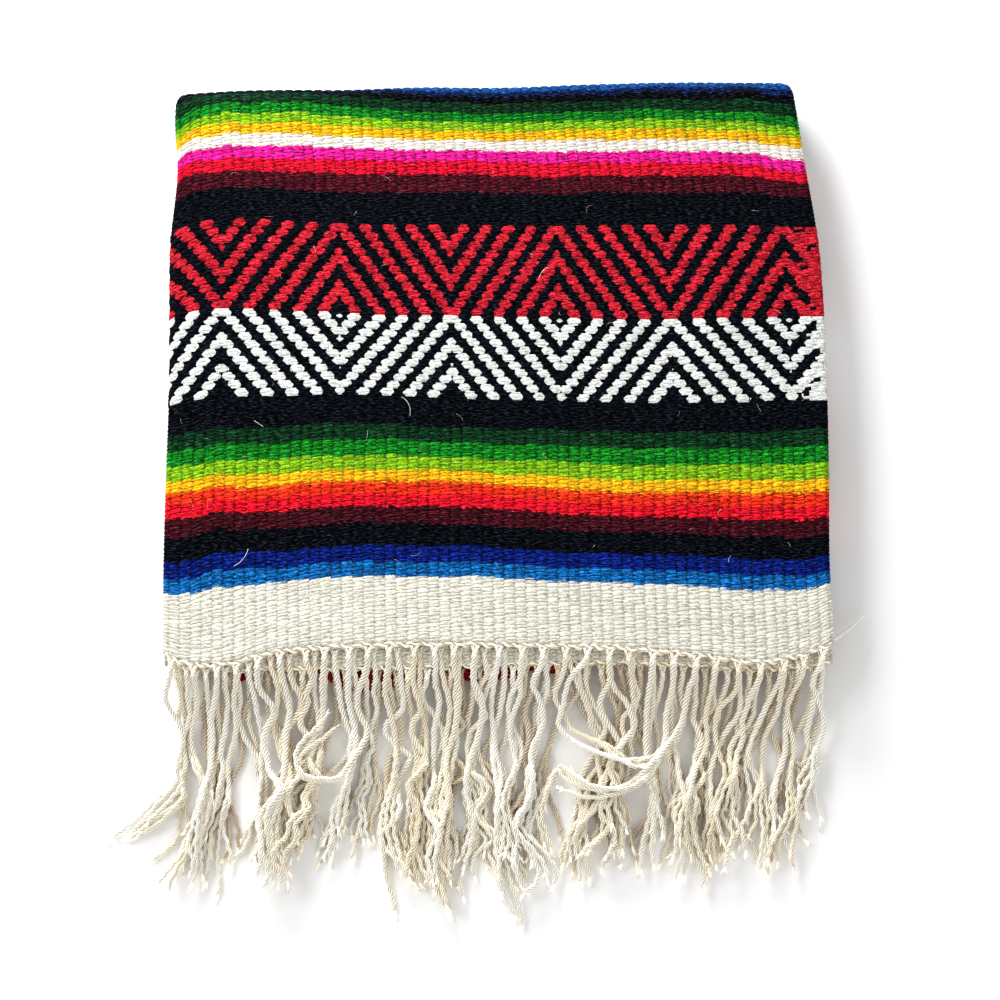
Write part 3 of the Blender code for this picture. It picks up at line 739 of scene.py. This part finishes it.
# The second hem: the end of the inner pair, which shows below the upper hem. Only the stretch in
# front is seen; the rest lies hidden under the top.
INNER_PAIR = LOWER_HEM, False, (2, 5)
HEM_SHOWN = 0.0333
hem_rows = rows_between(HEM_TUCK, HEM_SHOWN)
second_hem = weave_sheet("second_hem", all_columns, hem_rows, *INNER_PAIR)
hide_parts("folded_layers")


# The ends of the two under sheets, whose hems lie close below those of the sheets above them. They
# are the same wool web, held in their pairs by its turned edge alone.
UNDER_FACE = -0.0002  # an under sheet's face, out from the middle of its pair
END_SHOWN = 0.0086
sheet_columns = np.append(across_web[::2], WEB_WIDTH)
end_rows = rows_between(HEM_TUCK, END_SHOWN)
for name, hem, edges in (("upper_hem_under_sheet", UPPER_HEM, (1, 6)),
                         ("lower_hem_under_sheet", LOWER_HEM, (3, 4))):
    piece = weave_sheet(name, sheet_columns, end_rows, hem, False, edges, UNDER_FACE)
    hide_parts("folded_layers")


# The turned edge of the inner pair: the web's fold along the left, between the top and the
# underside. It is pressed in by hand and is not sewn.
EDGE_LENGTH, EDGE_WIDTH = 0.659, 0.004
edge_columns = join_columns(round_left, np.linspace(0, EDGE_WIDTH, 3))
edge_rows = rows_between(HEM_TUCK, EDGE_LENGTH)
turned_edge = weave_sheet("turned_edge", edge_columns, edge_rows, *INNER_PAIR)
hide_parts("folded_layers")


# The selvedges: the woven edges of the hidden sheets, one above another at the right. The weft
# turns back round the last warp there, pick by pick.
SELVEDGE_IN, SELVEDGE_OUT = 0.006, 0.003  # from the turn, in over the sheet and on past the turn
selvedge_columns = WEB_WIDTH + join_columns(np.linspace(-SELVEDGE_IN, 0, 4),
                                            np.linspace(0, math.pi * LEAF + SELVEDGE_OUT, 8))
for name, *lie in (("selvedge_outer", UPPER_HEM, True, (1, 6), UNDER_FACE),
                   ("selvedge_inner_upper", *INNER_PAIR, SHEET),
                   ("selvedge_inner_lower", LOWER_HEM, False, (3, 4), UNDER_FACE)):
    piece = weave_sheet(name, selvedge_columns, edge_rows, *lie)
    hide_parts("folded_layers")


# Twisted cotton warp. Undyed cotton cord is matt and creamy, with a groove between its plies that
# is darkened with painted shade, and fine hairs that run along them. A cord's tint runs from
# bleached cotton to brown: it varies at random, and the browner tints of the inner rows are painted
# shade.
PLY_HEIGHT, HAIR_HEIGHT = 0.00025, 0.00012
cotton, tree, shader = new_material("twisted cotton warp", Roughness=0.9, Specular_IOR_Level=0.2)
shader.inputs["Sheen Weight"].default_value = 0.1
cord_place = add_node(tree, "UVMap", {"uv_map": "cord place"})
cord_xy = add_node(tree, "SeparateXYZ", inputs={"Vector": cord_place})
tint = add_node(tree, "Attribute", {"attribute_name": "tint"})
value = {"round": cord_xy.outputs["X"], "along": cord_xy.outputs["Y"], "tint": tint.outputs["Fac"]}
hair_place = add_node(tree, "Mapping", inputs={"Vector": cord_place, "Scale": (7.0, 900.0, 1.0)})
hairs = add_node(tree, "TexNoise", inputs={"Vector": hair_place, "Scale": 1.0, "Detail": 3.0})
value["hairs"] = hairs.outputs[0]
# Painted shade darkens the groove between the plies; the hairs vary the cotton's own tone.
add_steps((
    ("ply", "FRACT", "round"),
    *dome_steps("ply dome", "ply"),
    ("hair shade", "MULTIPLY_ADD", "hairs", 0.8, 0.66),
    ("shade", "MULTIPLY", ("MULTIPLY_ADD", "ply dome", 1.02, 0.27), "hair shade"),
    ("relief", "MULTIPLY_ADD", "hairs", HAIR_HEIGHT, ("MULTIPLY", "ply dome", PLY_HEIGHT)),
))
# The tints run from bleached cotton to brown; the browns that the inner rows reach are painted
# shade.
undyed = add_node(tree, "ValToRGB", inputs={"Fac": value["tint"]})
undyed.color_ramp.elements[0].color = linear("#FFFCF1")
undyed.color_ramp.elements[1].color = linear("#AC947A")
undyed.color_ramp.elements.new(0.40).color = linear("#F6EBD2")
shaded = add_node(tree, "VectorMath", {"operation": "SCALE"},
                  {"Vector": undyed, "Scale": value["shade"]})
cover(tree, shader, shaded.outputs[0], value["relief"])


def gone_along(path):
    """How far along a path each of its points lies."""
    return np.append(0, np.cumsum(np.linalg.norm(np.diff(path, axis=0), axis=1)))


def resample(path, spacing):
    """The path's points again, evenly spaced about so far apart, and how far along each is."""
    gone = gone_along(path)
    at = np.linspace(0, gone[-1], max(3, round(gone[-1] / spacing) + 1))
    return np.column_stack([np.interp(at, gone, path[:, i]) for i in range(3)]), at


SEAM = 1e-7  # points of a cord nearer than this are one


def twist_cords(name, cords, sides, plies, pitch, groove):
    """One mesh of cords, each a path, a radius for each point and a tint. A fibre has no plies."""
    bm = bmesh.new()
    grids = []
    for path, _, _ in cords:
        made = bmesh.ops.create_grid(bm, x_segments=sides, y_segments=len(path) + 1, size=0.5)
        grids.append(np.array([vert.co[:2] for vert in made["verts"]]) + 0.5)
    points, places, tints = [], [], []
    for (path, radius, tint_value), at in zip(cords, grids):
        column = np.round(at[:, 0] * sides).astype(int)
        ring = np.round(at[:, 1] * (len(path) + 1)).astype(int)
        row = np.clip(ring - 1, 0, len(path) - 1)
        closed = (ring == 0) | (ring == len(path) + 1)
        along = np.gradient(path, axis=0)
        along /= np.linalg.norm(along, axis=1)[:, None]
        side = np.cross(along, (0.0, 0.0, 1.0))
        side /= np.linalg.norm(side, axis=1)[:, None] + 1e-9
        up = np.cross(side, along)
        gone = gone_along(path)
        turn = math.tau * (column / sides - gone[row] / pitch)
        ply = plies * column / sides if plies else np.full(len(column), 0.5)
        grooved = 1 - groove * (0.5 + 0.5 * np.cos(math.tau * ply))
        away = np.where(closed, 0, radius[row]) * grooved
        points.append(path[row] + away[:, None] * (side[row] * np.cos(turn)[:, None]
                                                   + up[row] * np.sin(turn)[:, None]))
        places.append(np.column_stack([ply, gone[row]]))
        tints.append(np.full(len(row), tint_value))
    mesh = mesh_of(bm, name)
    mesh.vertices.foreach_set("co", np.concatenate(points).ravel())
    write_places(mesh, "cord place", np.concatenate(places))
    mesh.attributes.new("tint", "FLOAT", "POINT").data.foreach_set("value", np.concatenate(tints))
    mesh.shade_smooth()
    bm = bmesh.new()
    bm.from_mesh(mesh)
    bmesh.ops.remove_doubles(bm, verts=bm.verts, dist=SEAM)
    bmesh.ops.recalc_face_normals(bm, faces=bm.faces)
    bm.to_mesh(mesh)
    bm.free()
    mesh.update()
    piece = add_object(name, mesh)
    piece.data.materials.append(cotton)
    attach(piece, "root")
    return piece


# The twined hems. At each end two thick wefts are twined across the warps, one loop to a fringe
# cord, and hold the last pick in place. Each sheet of the folded end shows one such row.
TWINE_RADIUS = 0.00125
TWINE_PITCH = 0.0130  # two loops
TWINE_GROOVE = 0.50
TWINE_TINT = 0.34
TWINE_RISE = 0.0004
TWINE_BACK = 0.0014  # from the line of the hem
TWINE_START, TWINE_END = 0.002, 0.001  # from the left edge and from the right
TWINE_STEP = 0.0009
for sheet, hem in ((4, LOWER_HEM), (5, LOWER_HEM), (6, UPPER_HEM), (7, UPPER_HEM)):
    x = np.linspace(SIDES[0][LEFT] + TWINE_START, SIDES[0][RIGHT] - TWINE_END, 400)
    y = read_table(ENDS, hem, x) + TWINE_BACK
    y = y + 0.0005 * np.sin(x * 410 + sheet) + 0.0004 * np.sin(x * 1130)  # it wavers a little
    z = np.full_like(x, (sheet + 0.5) * SHEET + TWINE_RISE)
    path, _ = resample(np.column_stack([x, y, z]), TWINE_STEP)
    uneven = 1 + 0.12 * np.sin(path[:, 0] * 730) + 0.08 * np.sin(path[:, 0] * 1900)
    twist_cords(f"hem_twine_{sheet}", [(path, TWINE_RADIUS * uneven, TWINE_TINT)],
                12, 2, TWINE_PITCH, TWINE_GROOVE)


# The fringe. The warp ends are twisted into cords that hang from the hems, bend down to the table
# and fall into locks. Every cord keeps to its lock and rests on the cloth and the cords below it.
CORDS_A_ROW = 31
HEM_STRIP = 0.0030  # from the hem to where the cords begin
UNDER_HEM = 0.0008  # and how far their warps reach in under it
GAP = 0.0003
ROOT_STRAY = 0.0013  # how far a root lies off its even place in the row
ROOT_SINK = 0.0002
OPENED_OUT = 1.021  # the cords lie this much further apart in the top row
STRAY = 0.0014  # how far a cord lies off its place in its lock
STRAIGHT = 0.6  # share of the way to the waist of its lock that it keeps to its root
# How often a cord of each sheet joins the lock next to its own
NEIGHBOUR_LOCK = {4: 0.34, 5: 0.30, 6: 0.22, 7: 0.14}
SHORTEST, LONGEST = 0.93, 1.04
LOCK_HALF = 0.009
SPREAD = (0.95, 0.95, 1.05)  # how wide the lock is at its waist, low down and at its tip
LOCKS = np.array((
    # root, waist x, waist y, low x, low y, tip x, tip y, in mm
    (-178, -176, -205, -183, -235, -203, -262),
    (-163, -164, -204, -160, -240, -172, -284),
    (-148, -152, -200, -155, -243, -160, -282),
    (-130, -126, -205, -121, -245, -126, -280),
    (-112, -108, -206, -114, -243, -119, -277),
    (-92, -96, -204, -110, -236, -106, -272),
    (-74, -74, -200, -78, -238, -84, -272),
    (-54, -52, -204, -55, -245, -50, -292),
    (-36, -33, -208, -38, -244, -34, -280),
    (-20, -20, -204, -25, -242, -23, -293),
    (-2, -8, -202, -2, -244, 8, -294),
    (16, 10, -204, 8, -244, 7, -282),
    (34, 18, -206, 14, -240, 13, -279),
    (52, 64, -204, 52, -236, 46, -280),
    (72, 70, -210, 66, -240, 60, -274),
    (90, 86, -206, 90, -240, 86, -276),
    (106, 104, -204, 106, -246, 110, -286),
    (124, 116, -206, 108, -244, 112, -272),
    (142, 132, -204, 124, -242, 126, -268),
    (158, 150, -206, 146, -242, 142, -278),
    (176, 172, -208, 164, -240, 166, -266),
)) / 1000
ROWS = (
    # node, sheet it hangs from, its hem, reach beside its lock's, first root
    ("fringe_inner_lower", 4, LOWER_HEM, 0.88, 0.72),
    ("fringe_inner_upper", 5, LOWER_HEM, 0.91, 0.26),
    ("fringe_outer_lower", 6, UPPER_HEM, 0.95, 0.74),
    ("fringe_outer_upper", 7, UPPER_HEM, 1.01, 0.24),
)
CELL = 0.001  # grid of the heights that the next cord has to clear
PILE_X = np.arange(-0.240, 0.240, CELL)
PILE_Y = np.arange(-0.340, -0.140, CELL)
CORD_RADIUS = 0.00170
LAID_SPACE, PLY_SPACE = 0.0022, 0.0015  # cords and loose plies press together where they cross
STATION = 0.0025  # spacing of the places where a cord's height is found
SAG = 0.000080  # how far a free station sinks below the mean of its neighbours
SWEEPS, SMOOTHINGS = 500, 3  # rounds in which a cord settles and is eased
LEVEL = 3  # stations at the root that stay at its height
BORDER = 3  # cells along the edge of the grid that no cord uses
HELD = 0.024  # the hem holds a cord straight over this length
LIVELY, STRETCH = (0.3, 1.3), (0.75, 1.3)  # how much a cord curls, and how its waves vary
CURL_ALONG = 0.4  # share of a curl that goes along the fringe
CURLS = (  # how a cord wanders from side to side: wavelength, reach
    (0.072, 0.0030),
    (0.037, 0.0021),
    (0.021, 0.0008),
)
CORD_STEP = 0.00085  # spacing of a cord's points
CORD_PLIES, CORD_PITCH, PLY_GROOVE = 4, 0.0090, 0.42
SPLIT_AT = (0.36, 0.60)  # how far along a cord opens, and its loose plies begin
SPLIT_SPREAD = (0.003, 0.011)  # how far it strays there
SPLIT_SHARES, REST_SHARE = (1, 0.2), -0.5  # the share of that for each loose ply and for the rest
EARLIER = 8  # a loose ply ends fewer stations than this before its cord
SWAY, SWAY_TURNS = 0.0020, (4, 14)  # how far an opened cord sways, and through how many radians
TIP_STRAY = 0.004  # how far an opened tip strays along the fringe
CRIMP_WAVE = 0.0068  # the fine waves that the twist leaves in a cord and in a loose ply
CRIMP_REACH, LOOSE_CRIMP = 0.00018, 0.00036
CRIMP_STRETCH, CRIMP_FREE = (0.8, 1.3), 0.010
OPENING = 6  # stations over which a cord opens
OPENED, LOOSE = 0.24, 0.74  # how much thinner it is from there, and a loose ply's share of it
THICKNESS = (0.88, 1.10)  # of a cord, for that of most
ROOT_TAPER, TIP_TAPER = (0.45, 0.008), (0.40, 0.006)  # share at the end, and how slowly it grows
INNER_SHADED_TINT, OUTER_TINT = (0.08, 0.85), 0.42  # the inner rows are browner: painted shade
PLY_TINT, TIP_TINT = (-0.08, 0.2), 0.6  # what a loose ply adds, and a frayed end's share of it
WARPS_APART, WARP_RADIUS = 0.0017, 0.00085
WARP_IN, WARP_LIFT = 0.0012, 0.0006  # where a warp comes out from under the hem
WARP_RISE = 0.0004  # and how high it joins the cord
INNER_SHEETS = 6  # the sheets below this one belong to the inner end
# Cords of the top row that wander over the rest: x and y of the points that each passes, in tenths
# of a millimetre
WANDERING = {
    9: ((-745, -1777), (-763, -1969), (-783, -2077), (-840, -2202), (-946, -2282), (-1022, -2278),
        (-1051, -2202), (-1043, -2104), (-985, -2034), (-953, -1985)),
    18: ((306, -1832), (371, -1952), (490, -2039), (624, -2137), (759, -2185), (860, -2160),
         (900, -2120)),
    19: ((310, -1800), (335, -1925), (450, -2060), (590, -2165), (700, -2215), (790, -2200)),
    20: ((602, -1766), (710, -1865), (725, -1952), (663, -2077), (607, -2185), (593, -2373),
         (632, -2638)),
    23: ((942, -1777), (911, -1931), (880, -2077), (785, -2223), (648, -2309), (513, -2314),
         (389, -2266), (303, -2202), (243, -2293), (205, -2426), (247, -2600)),
    24: ((1010, -1800), (980, -1950), (900, -2130), (790, -2255), (660, -2330), (520, -2345),
         (400, -2300), (330, -2250)),
    30: ((1700, -1780), (1752, -1931), (1722, -2185), (1681, -2421)),
}


def bare_heights():
    """The lowest that a cord's middle can be over the table and the folded cloth."""
    past_nose = PILE_Y - (NOSE_Y + PAIR)
    round_nose = np.sqrt(np.maximum((PAIR + CORD_RADIUS) ** 2 - past_nose**2, 0))
    over = np.where(past_nose > 0, MIDDLE + CORD_RADIUS,
                    np.where(round_nose > 0, PAIR + round_nose, 0))
    over = np.maximum(over, CORD_RADIUS)
    on_hem = PILE_Y[:, None] > read_table(ENDS, LOWER_HEM, PILE_X)[None, :]
    return np.where(on_hem, INNER_SHEETS * SHEET + CORD_RADIUS, over[:, None])


def plan_of(root, lock, reach, stray):
    """A cord's route seen from above, from its root to its tip."""
    aside = np.clip(root[0] - lock[0], -LOCK_HALF, LOCK_HALF)
    waist, low, tip = (lock[i] + spread * aside for i, spread in zip((1, 3, 5), SPREAD))
    return [
        (waist + STRAIGHT * (root[0] - waist) + stray[0], (root[1] + lock[2]) / 2),
        (waist + stray[1], lock[2]),
        (low + stray[2], lock[4]),
        (tip + stray[3], root[1] + (lock[6] - root[1]) * reach + stray[4]),
    ]


def any_turn():
    """Where in its first turn a wave starts."""
    return curl_draw.uniform(0, 6.28)


def curl_along(root, passed):
    """The route through the points that a cord passes, with its curls."""
    knots = np.array([(root[0], root[1] + HEM_STRIP + UNDER_HEM), root, *passed])
    gone = np.append(0, np.cumsum(np.hypot(*np.diff(knots, axis=0).T)))
    at = np.linspace(0, gone[-1], round(gone[-1] / STATION))
    plan = np.column_stack([smooth(gone, knots[:, 0], at), smooth(gone, knots[:, 1], at)])
    free = np.clip(at / HELD, 0, 1) ** 1.5
    lively = curl_draw.uniform(*LIVELY)
    for wave, reach_aside in CURLS:
        wave = wave * curl_draw.uniform(*STRETCH)
        swing = lively * reach_aside * curl_draw.normal()
        plan[:, 0] += free * swing * np.sin(math.tau * at / wave + any_turn())
        plan[:, 1] += free * CURL_ALONG * swing * np.sin(math.tau * at / wave + any_turn())
    return plan


def stray_past(plan, split, aside):
    """The plan again, straying aside and swaying past the split."""
    gone = np.clip((np.arange(len(plan)) - split) / (len(plan) - split), 0, 1)
    sway = SWAY * np.sin(gone * curl_draw.uniform(*SWAY_TURNS) + any_turn())
    strayed = plan.copy()
    strayed[:, 0] += aside * gone**1.2 + gone * sway
    strayed[:, 1] += TIP_STRAY * curl_draw.normal() * gone**2
    return strayed


def cells_of(points):
    """Row and column of the cell that each point lies over."""
    cells = np.round((points[:, :2] - (PILE_X[0], PILE_Y[0])) / CELL)
    last = len(PILE_X) - 1 - BORDER, len(PILE_Y) - 1 - BORDER
    column, row = np.clip(cells, BORDER, last).astype(int).T
    return row, column


def lay_cord(pile, plan, root_z):
    """Heights along a cord that leaves its root level, bends down and rests on the pile."""
    row, column = cells_of(plan)
    least = pile[row, column]
    z = np.maximum(np.linspace(root_z, CORD_RADIUS, len(plan)), least)
    z[:LEVEL] = root_z
    before, here, after = slice(LEVEL - 1, -2), slice(LEVEL, -1), slice(LEVEL + 1, None)
    for _ in range(SWEEPS):
        z[here] = np.maximum((z[before] + z[after]) / 2 - SAG, least[here])
        z[-1] = max(z[-2] - SAG, least[-1])
    for _ in range(SMOOTHINGS):
        z[here] = 0.25 * z[before] + 0.5 * z[here] + 0.25 * z[after]
    return z


def add_to_pile(pile, places, space):
    """Raise the pile round a cord, so that the next one passes over it."""
    dense, _ = resample(places, CELL / 2)
    row, column = cells_of(dense)
    reach = math.ceil(space / CELL)
    for down in range(-reach, reach + 1):
        for right in range(-reach, reach + 1):
            off = ((PILE_Y[row + down] - dense[:, 1]) ** 2
                   + (PILE_X[column + right] - dense[:, 0]) ** 2)
            over = dense[:, 2] + np.sqrt(np.maximum(space**2 - off, 0))
            near = off < space**2
            np.maximum.at(pile, (row[near] + down, column[near] + right), over[near])


draw = np.random.default_rng(2)
curl_draw = np.random.default_rng(7)
pile = bare_heights()
spacing = (SIDES[0][RIGHT] - SIDES[0][LEFT] - 2 * HEM_STRIP) / CORDS_A_ROW
fringe_ends = []
warp_ends = []
for node, sheet, hem, reach, offset in ROWS:
    first = SIDES[0][LEFT] + HEM_STRIP + spacing * offset
    middle = (sheet + 0.5) * SHEET
    inner = sheet < INNER_SHEETS
    cords = []
    on_top = WANDERING if sheet == 7 else ()
    apart = spacing * (OPENED_OUT if sheet == 7 else 1)
    for i in sorted(draw.permutation(CORDS_A_ROW), key=lambda cord: cord in on_top):
        x = first + apart * i + ROOT_STRAY * draw.uniform(-1, 1)
        root = (x, read_table(ENDS, hem, x) - 2 * GAP - HEM_STRIP)
        nearest = sorted(LOCKS, key=lambda lock: abs(lock[0] - x))
        lock = nearest[1] if draw.random() < NEIGHBOUR_LOCK[sheet] else nearest[0]
        length = reach * draw.uniform(SHORTEST, LONGEST)
        if i in on_top:
            passed = np.divide(on_top[i], 10000)
        else:
            passed = plan_of(root, lock, length, draw.normal(0, STRAY, 5))
        plan = curl_along(root, passed)
        # The inner rows lie under the outer ones, so their browner tints are painted shade
        if inner:
            shade = curl_draw.uniform(*INNER_SHADED_TINT)
        else:
            shade = OUTER_TINT * curl_draw.random() ** 1.3
        thick = CORD_RADIUS * curl_draw.uniform(*THICKNESS)

        # About half way down the cord opens, and its loose plies stray to either side
        split = round(len(plan) * curl_draw.uniform(*SPLIT_AT))
        stray = curl_draw.choice((-1, 1)) * curl_draw.uniform(*SPLIT_SPREAD)
        places = stray_past(plan, split, REST_SHARE * stray)
        places = np.column_stack([places, lay_cord(pile, places, middle - ROOT_SINK)])
        add_to_pile(pile, places[2:], LAID_SPACE)
        strands = [(places, True)]
        for share in SPLIT_SHARES[:1 if inner else 2]:
            loose = stray_past(plan, split, share * stray)
            loose = loose[split:len(plan) - curl_draw.integers(0, EARLIER)]
            loose = np.column_stack([loose, lay_cord(pile, loose, places[split, 2])])
            add_to_pile(pile, loose[2:], PLY_SPACE)
            strands.append((loose, False))

        for strand, whole in strands:
            path, at = resample(strand, CORD_STEP)
            wave = math.tau * at / (CRIMP_WAVE * curl_draw.uniform(*CRIMP_STRETCH)) + any_turn()
            opened = np.clip((at / at[-1] * len(places) - split) / OPENING, 0, 1) if whole else 1.0
            crimp = CRIMP_REACH + (LOOSE_CRIMP - CRIMP_REACH) * opened
            crimp = crimp * np.clip(at / CRIMP_FREE, 0, 1)
            path[:, 0] += crimp * np.sin(wave)
            path[:, 1] += 0.5 * crimp * np.cos(0.7 * wave)
            radius = thick * (1 - OPENED * opened) if whole else np.full(len(path), LOOSE * thick)
            for (end, over), gone in ((ROOT_TAPER, at), (TIP_TAPER, at[-1] - at)):
                radius = radius * np.clip(end + gone / over, 0, 1)
            path[:, 2] = np.maximum(path[:, 2], radius)
            tint_value = max(0.0, min(1.0, shade + curl_draw.uniform(*PLY_TINT) * (not whole)))
            cords.append((path, radius, tint_value))
            fringe_ends.append((path[-1], path[-1] - path[-6], TIP_TINT * tint_value))
        foot = places[2] + (0.0, 0.0, WARP_RISE)
        for aside in (-WARPS_APART, WARPS_APART):
            head = np.array((x + aside, root[1] + HEM_STRIP + WARP_IN, middle + WARP_LIFT))
            t = np.linspace(0, 1, 6)[:, None]
            warp_ends.append((head + (foot - head) * t, np.full(6, WARP_RADIUS), shade))
    row_piece = twist_cords(node + "_cords", cords, 2 * CORD_PLIES, CORD_PLIES, CORD_PITCH,
                            PLY_GROOVE)
    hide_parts(node)


# The roots of the fringe. Two doubled warps come out from under the hem twine and join in a cord.
# One broken warp end stands out aside at the right.
WARP_SIDES, WARP_PLIES, WARP_PITCH, WARP_GROOVE = 6, 3, 0.006, 0.1
BROKEN_END = ((0.1790, -0.1535, 0.0200), (0.1846, -0.1500, 0.0165), (0.1900, -0.1456, 0.0125),
              (0.1936, -0.1432, 0.0100), (0.1985, -0.1388, 0.0075), (0.2030, -0.1350, 0.0060))
BROKEN_RADII = 0.00110, 0.00075  # at its root and at its tip
broken_path, _ = resample(np.array(BROKEN_END), CORD_STEP)
warp_ends.append((broken_path, np.linspace(*BROKEN_RADII, len(broken_path)), 0.0))
twist_cords("warp_ends", warp_ends, WARP_SIDES, WARP_PLIES, WARP_PITCH, WARP_GROOVE)


# Frayed ends: the last few millimetres of each cord, where the twist opens into loose fibres.
# Nothing ties or glues them, so they spread and sink to the table.
ENDS_A_CORD = 4
FIBRE_PITCH = 0.010  # the turn left in a fibre
END_SPREAD = 0.26
END_REACH = (0.0020, 0.0050)
END_RADII = 0.00066, 0.00028
END_BACK = 0.001  # how far back in its cord a loose end starts, and how far its tip sinks
END_LOWEST = 0.0008
ends = []
t = np.linspace(0, 1, 4)[:, None]
for place, way, end_tint in fringe_ends:
    way = way / np.linalg.norm(way)
    for _ in range(ENDS_A_CORD):
        spread = curl_draw.normal(0, END_SPREAD, 3)
        reach = curl_draw.uniform(*END_REACH)
        path = place - way * END_BACK + t * reach * (way + spread * (0.4 + 0.6 * t))
        path[:, 2] = np.maximum(path[:, 2] - END_BACK * t[:, 0], END_LOWEST)
        ends.append((path, np.linspace(*END_RADII, len(path)), end_tint))
twist_cords("frayed_ends", ends, 5, 0, FIBRE_PITCH, 0.0)


# Loose hairs: fine pale cotton fibres that the warp and the fringe have shed. They lie on the
# weave in short curls, held by nothing but its nap.
HAIRS = 70
HAIR_X, HAIR_Y = (-0.178, 0.172), (-0.150, 0.160)  # where on the top they lie
HAIR_REACH, HAIR_BEND = (0.002, 0.008), 1.1
HAIR_RADIUS = (0.00003, 0.00006)
HAIR_LIFT, HAIR_ARCH = 0.0003, 0.0003  # over the top at its ends, and how far its middle rises
LONG_HAIRS = (
    # x, y, length, angle and bend in degrees
    (-0.138, -0.028, 0.007, -40, 10),
    (-0.056, -0.014, 0.014, -30, -70),
    (-0.147, -0.112, 0.014, 20, 60),
    (0.022, 0.055, 0.010, 80, -50),
)
LONG_RADIUS = 0.00009
LONG_LIFT, LONG_ARCH = 0.0009, 0.0008
hair_draw = np.random.default_rng(11)
hairs_laid = []


def lay_hair(x, y, reach, way, lift, arch, radius, tint_value):
    """Lay a hair that goes the way it is told at each of its points."""
    count = len(way)
    path = np.column_stack([x + reach * np.cumsum(np.cos(way)) / count,
                            y + reach * np.cumsum(np.sin(way)) / count,
                            HEIGHT + lift + arch * np.sin(math.pi * np.linspace(0, 1, count))])
    hairs_laid.append((path, np.full(count, radius), tint_value))


for _ in range(HAIRS):
    x, y, reach = (hair_draw.uniform(*span) for span in (HAIR_X, HAIR_Y, HAIR_REACH))
    angle, bend = hair_draw.uniform(0, math.tau), hair_draw.normal(0, HAIR_BEND)
    lay_hair(x, y, reach, angle + bend * np.linspace(0, 1, 8), HAIR_LIFT, HAIR_ARCH,
             hair_draw.uniform(*HAIR_RADIUS), hair_draw.uniform(0, 1))
for x, y, reach, angle, bend in LONG_HAIRS:
    way = np.radians(angle + bend * np.linspace(0, 1, 14))
    lay_hair(x, y, reach, way, LONG_LIFT, LONG_ARCH, LONG_RADIUS, 0.0)
twist_cords("loose_hairs", hairs_laid, 3, 0, FIBRE_PITCH, 0.0)


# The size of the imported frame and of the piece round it
size = {"packed": [list(corner) for corner in packed_box],
        "dressed": [list(corner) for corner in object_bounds()]}
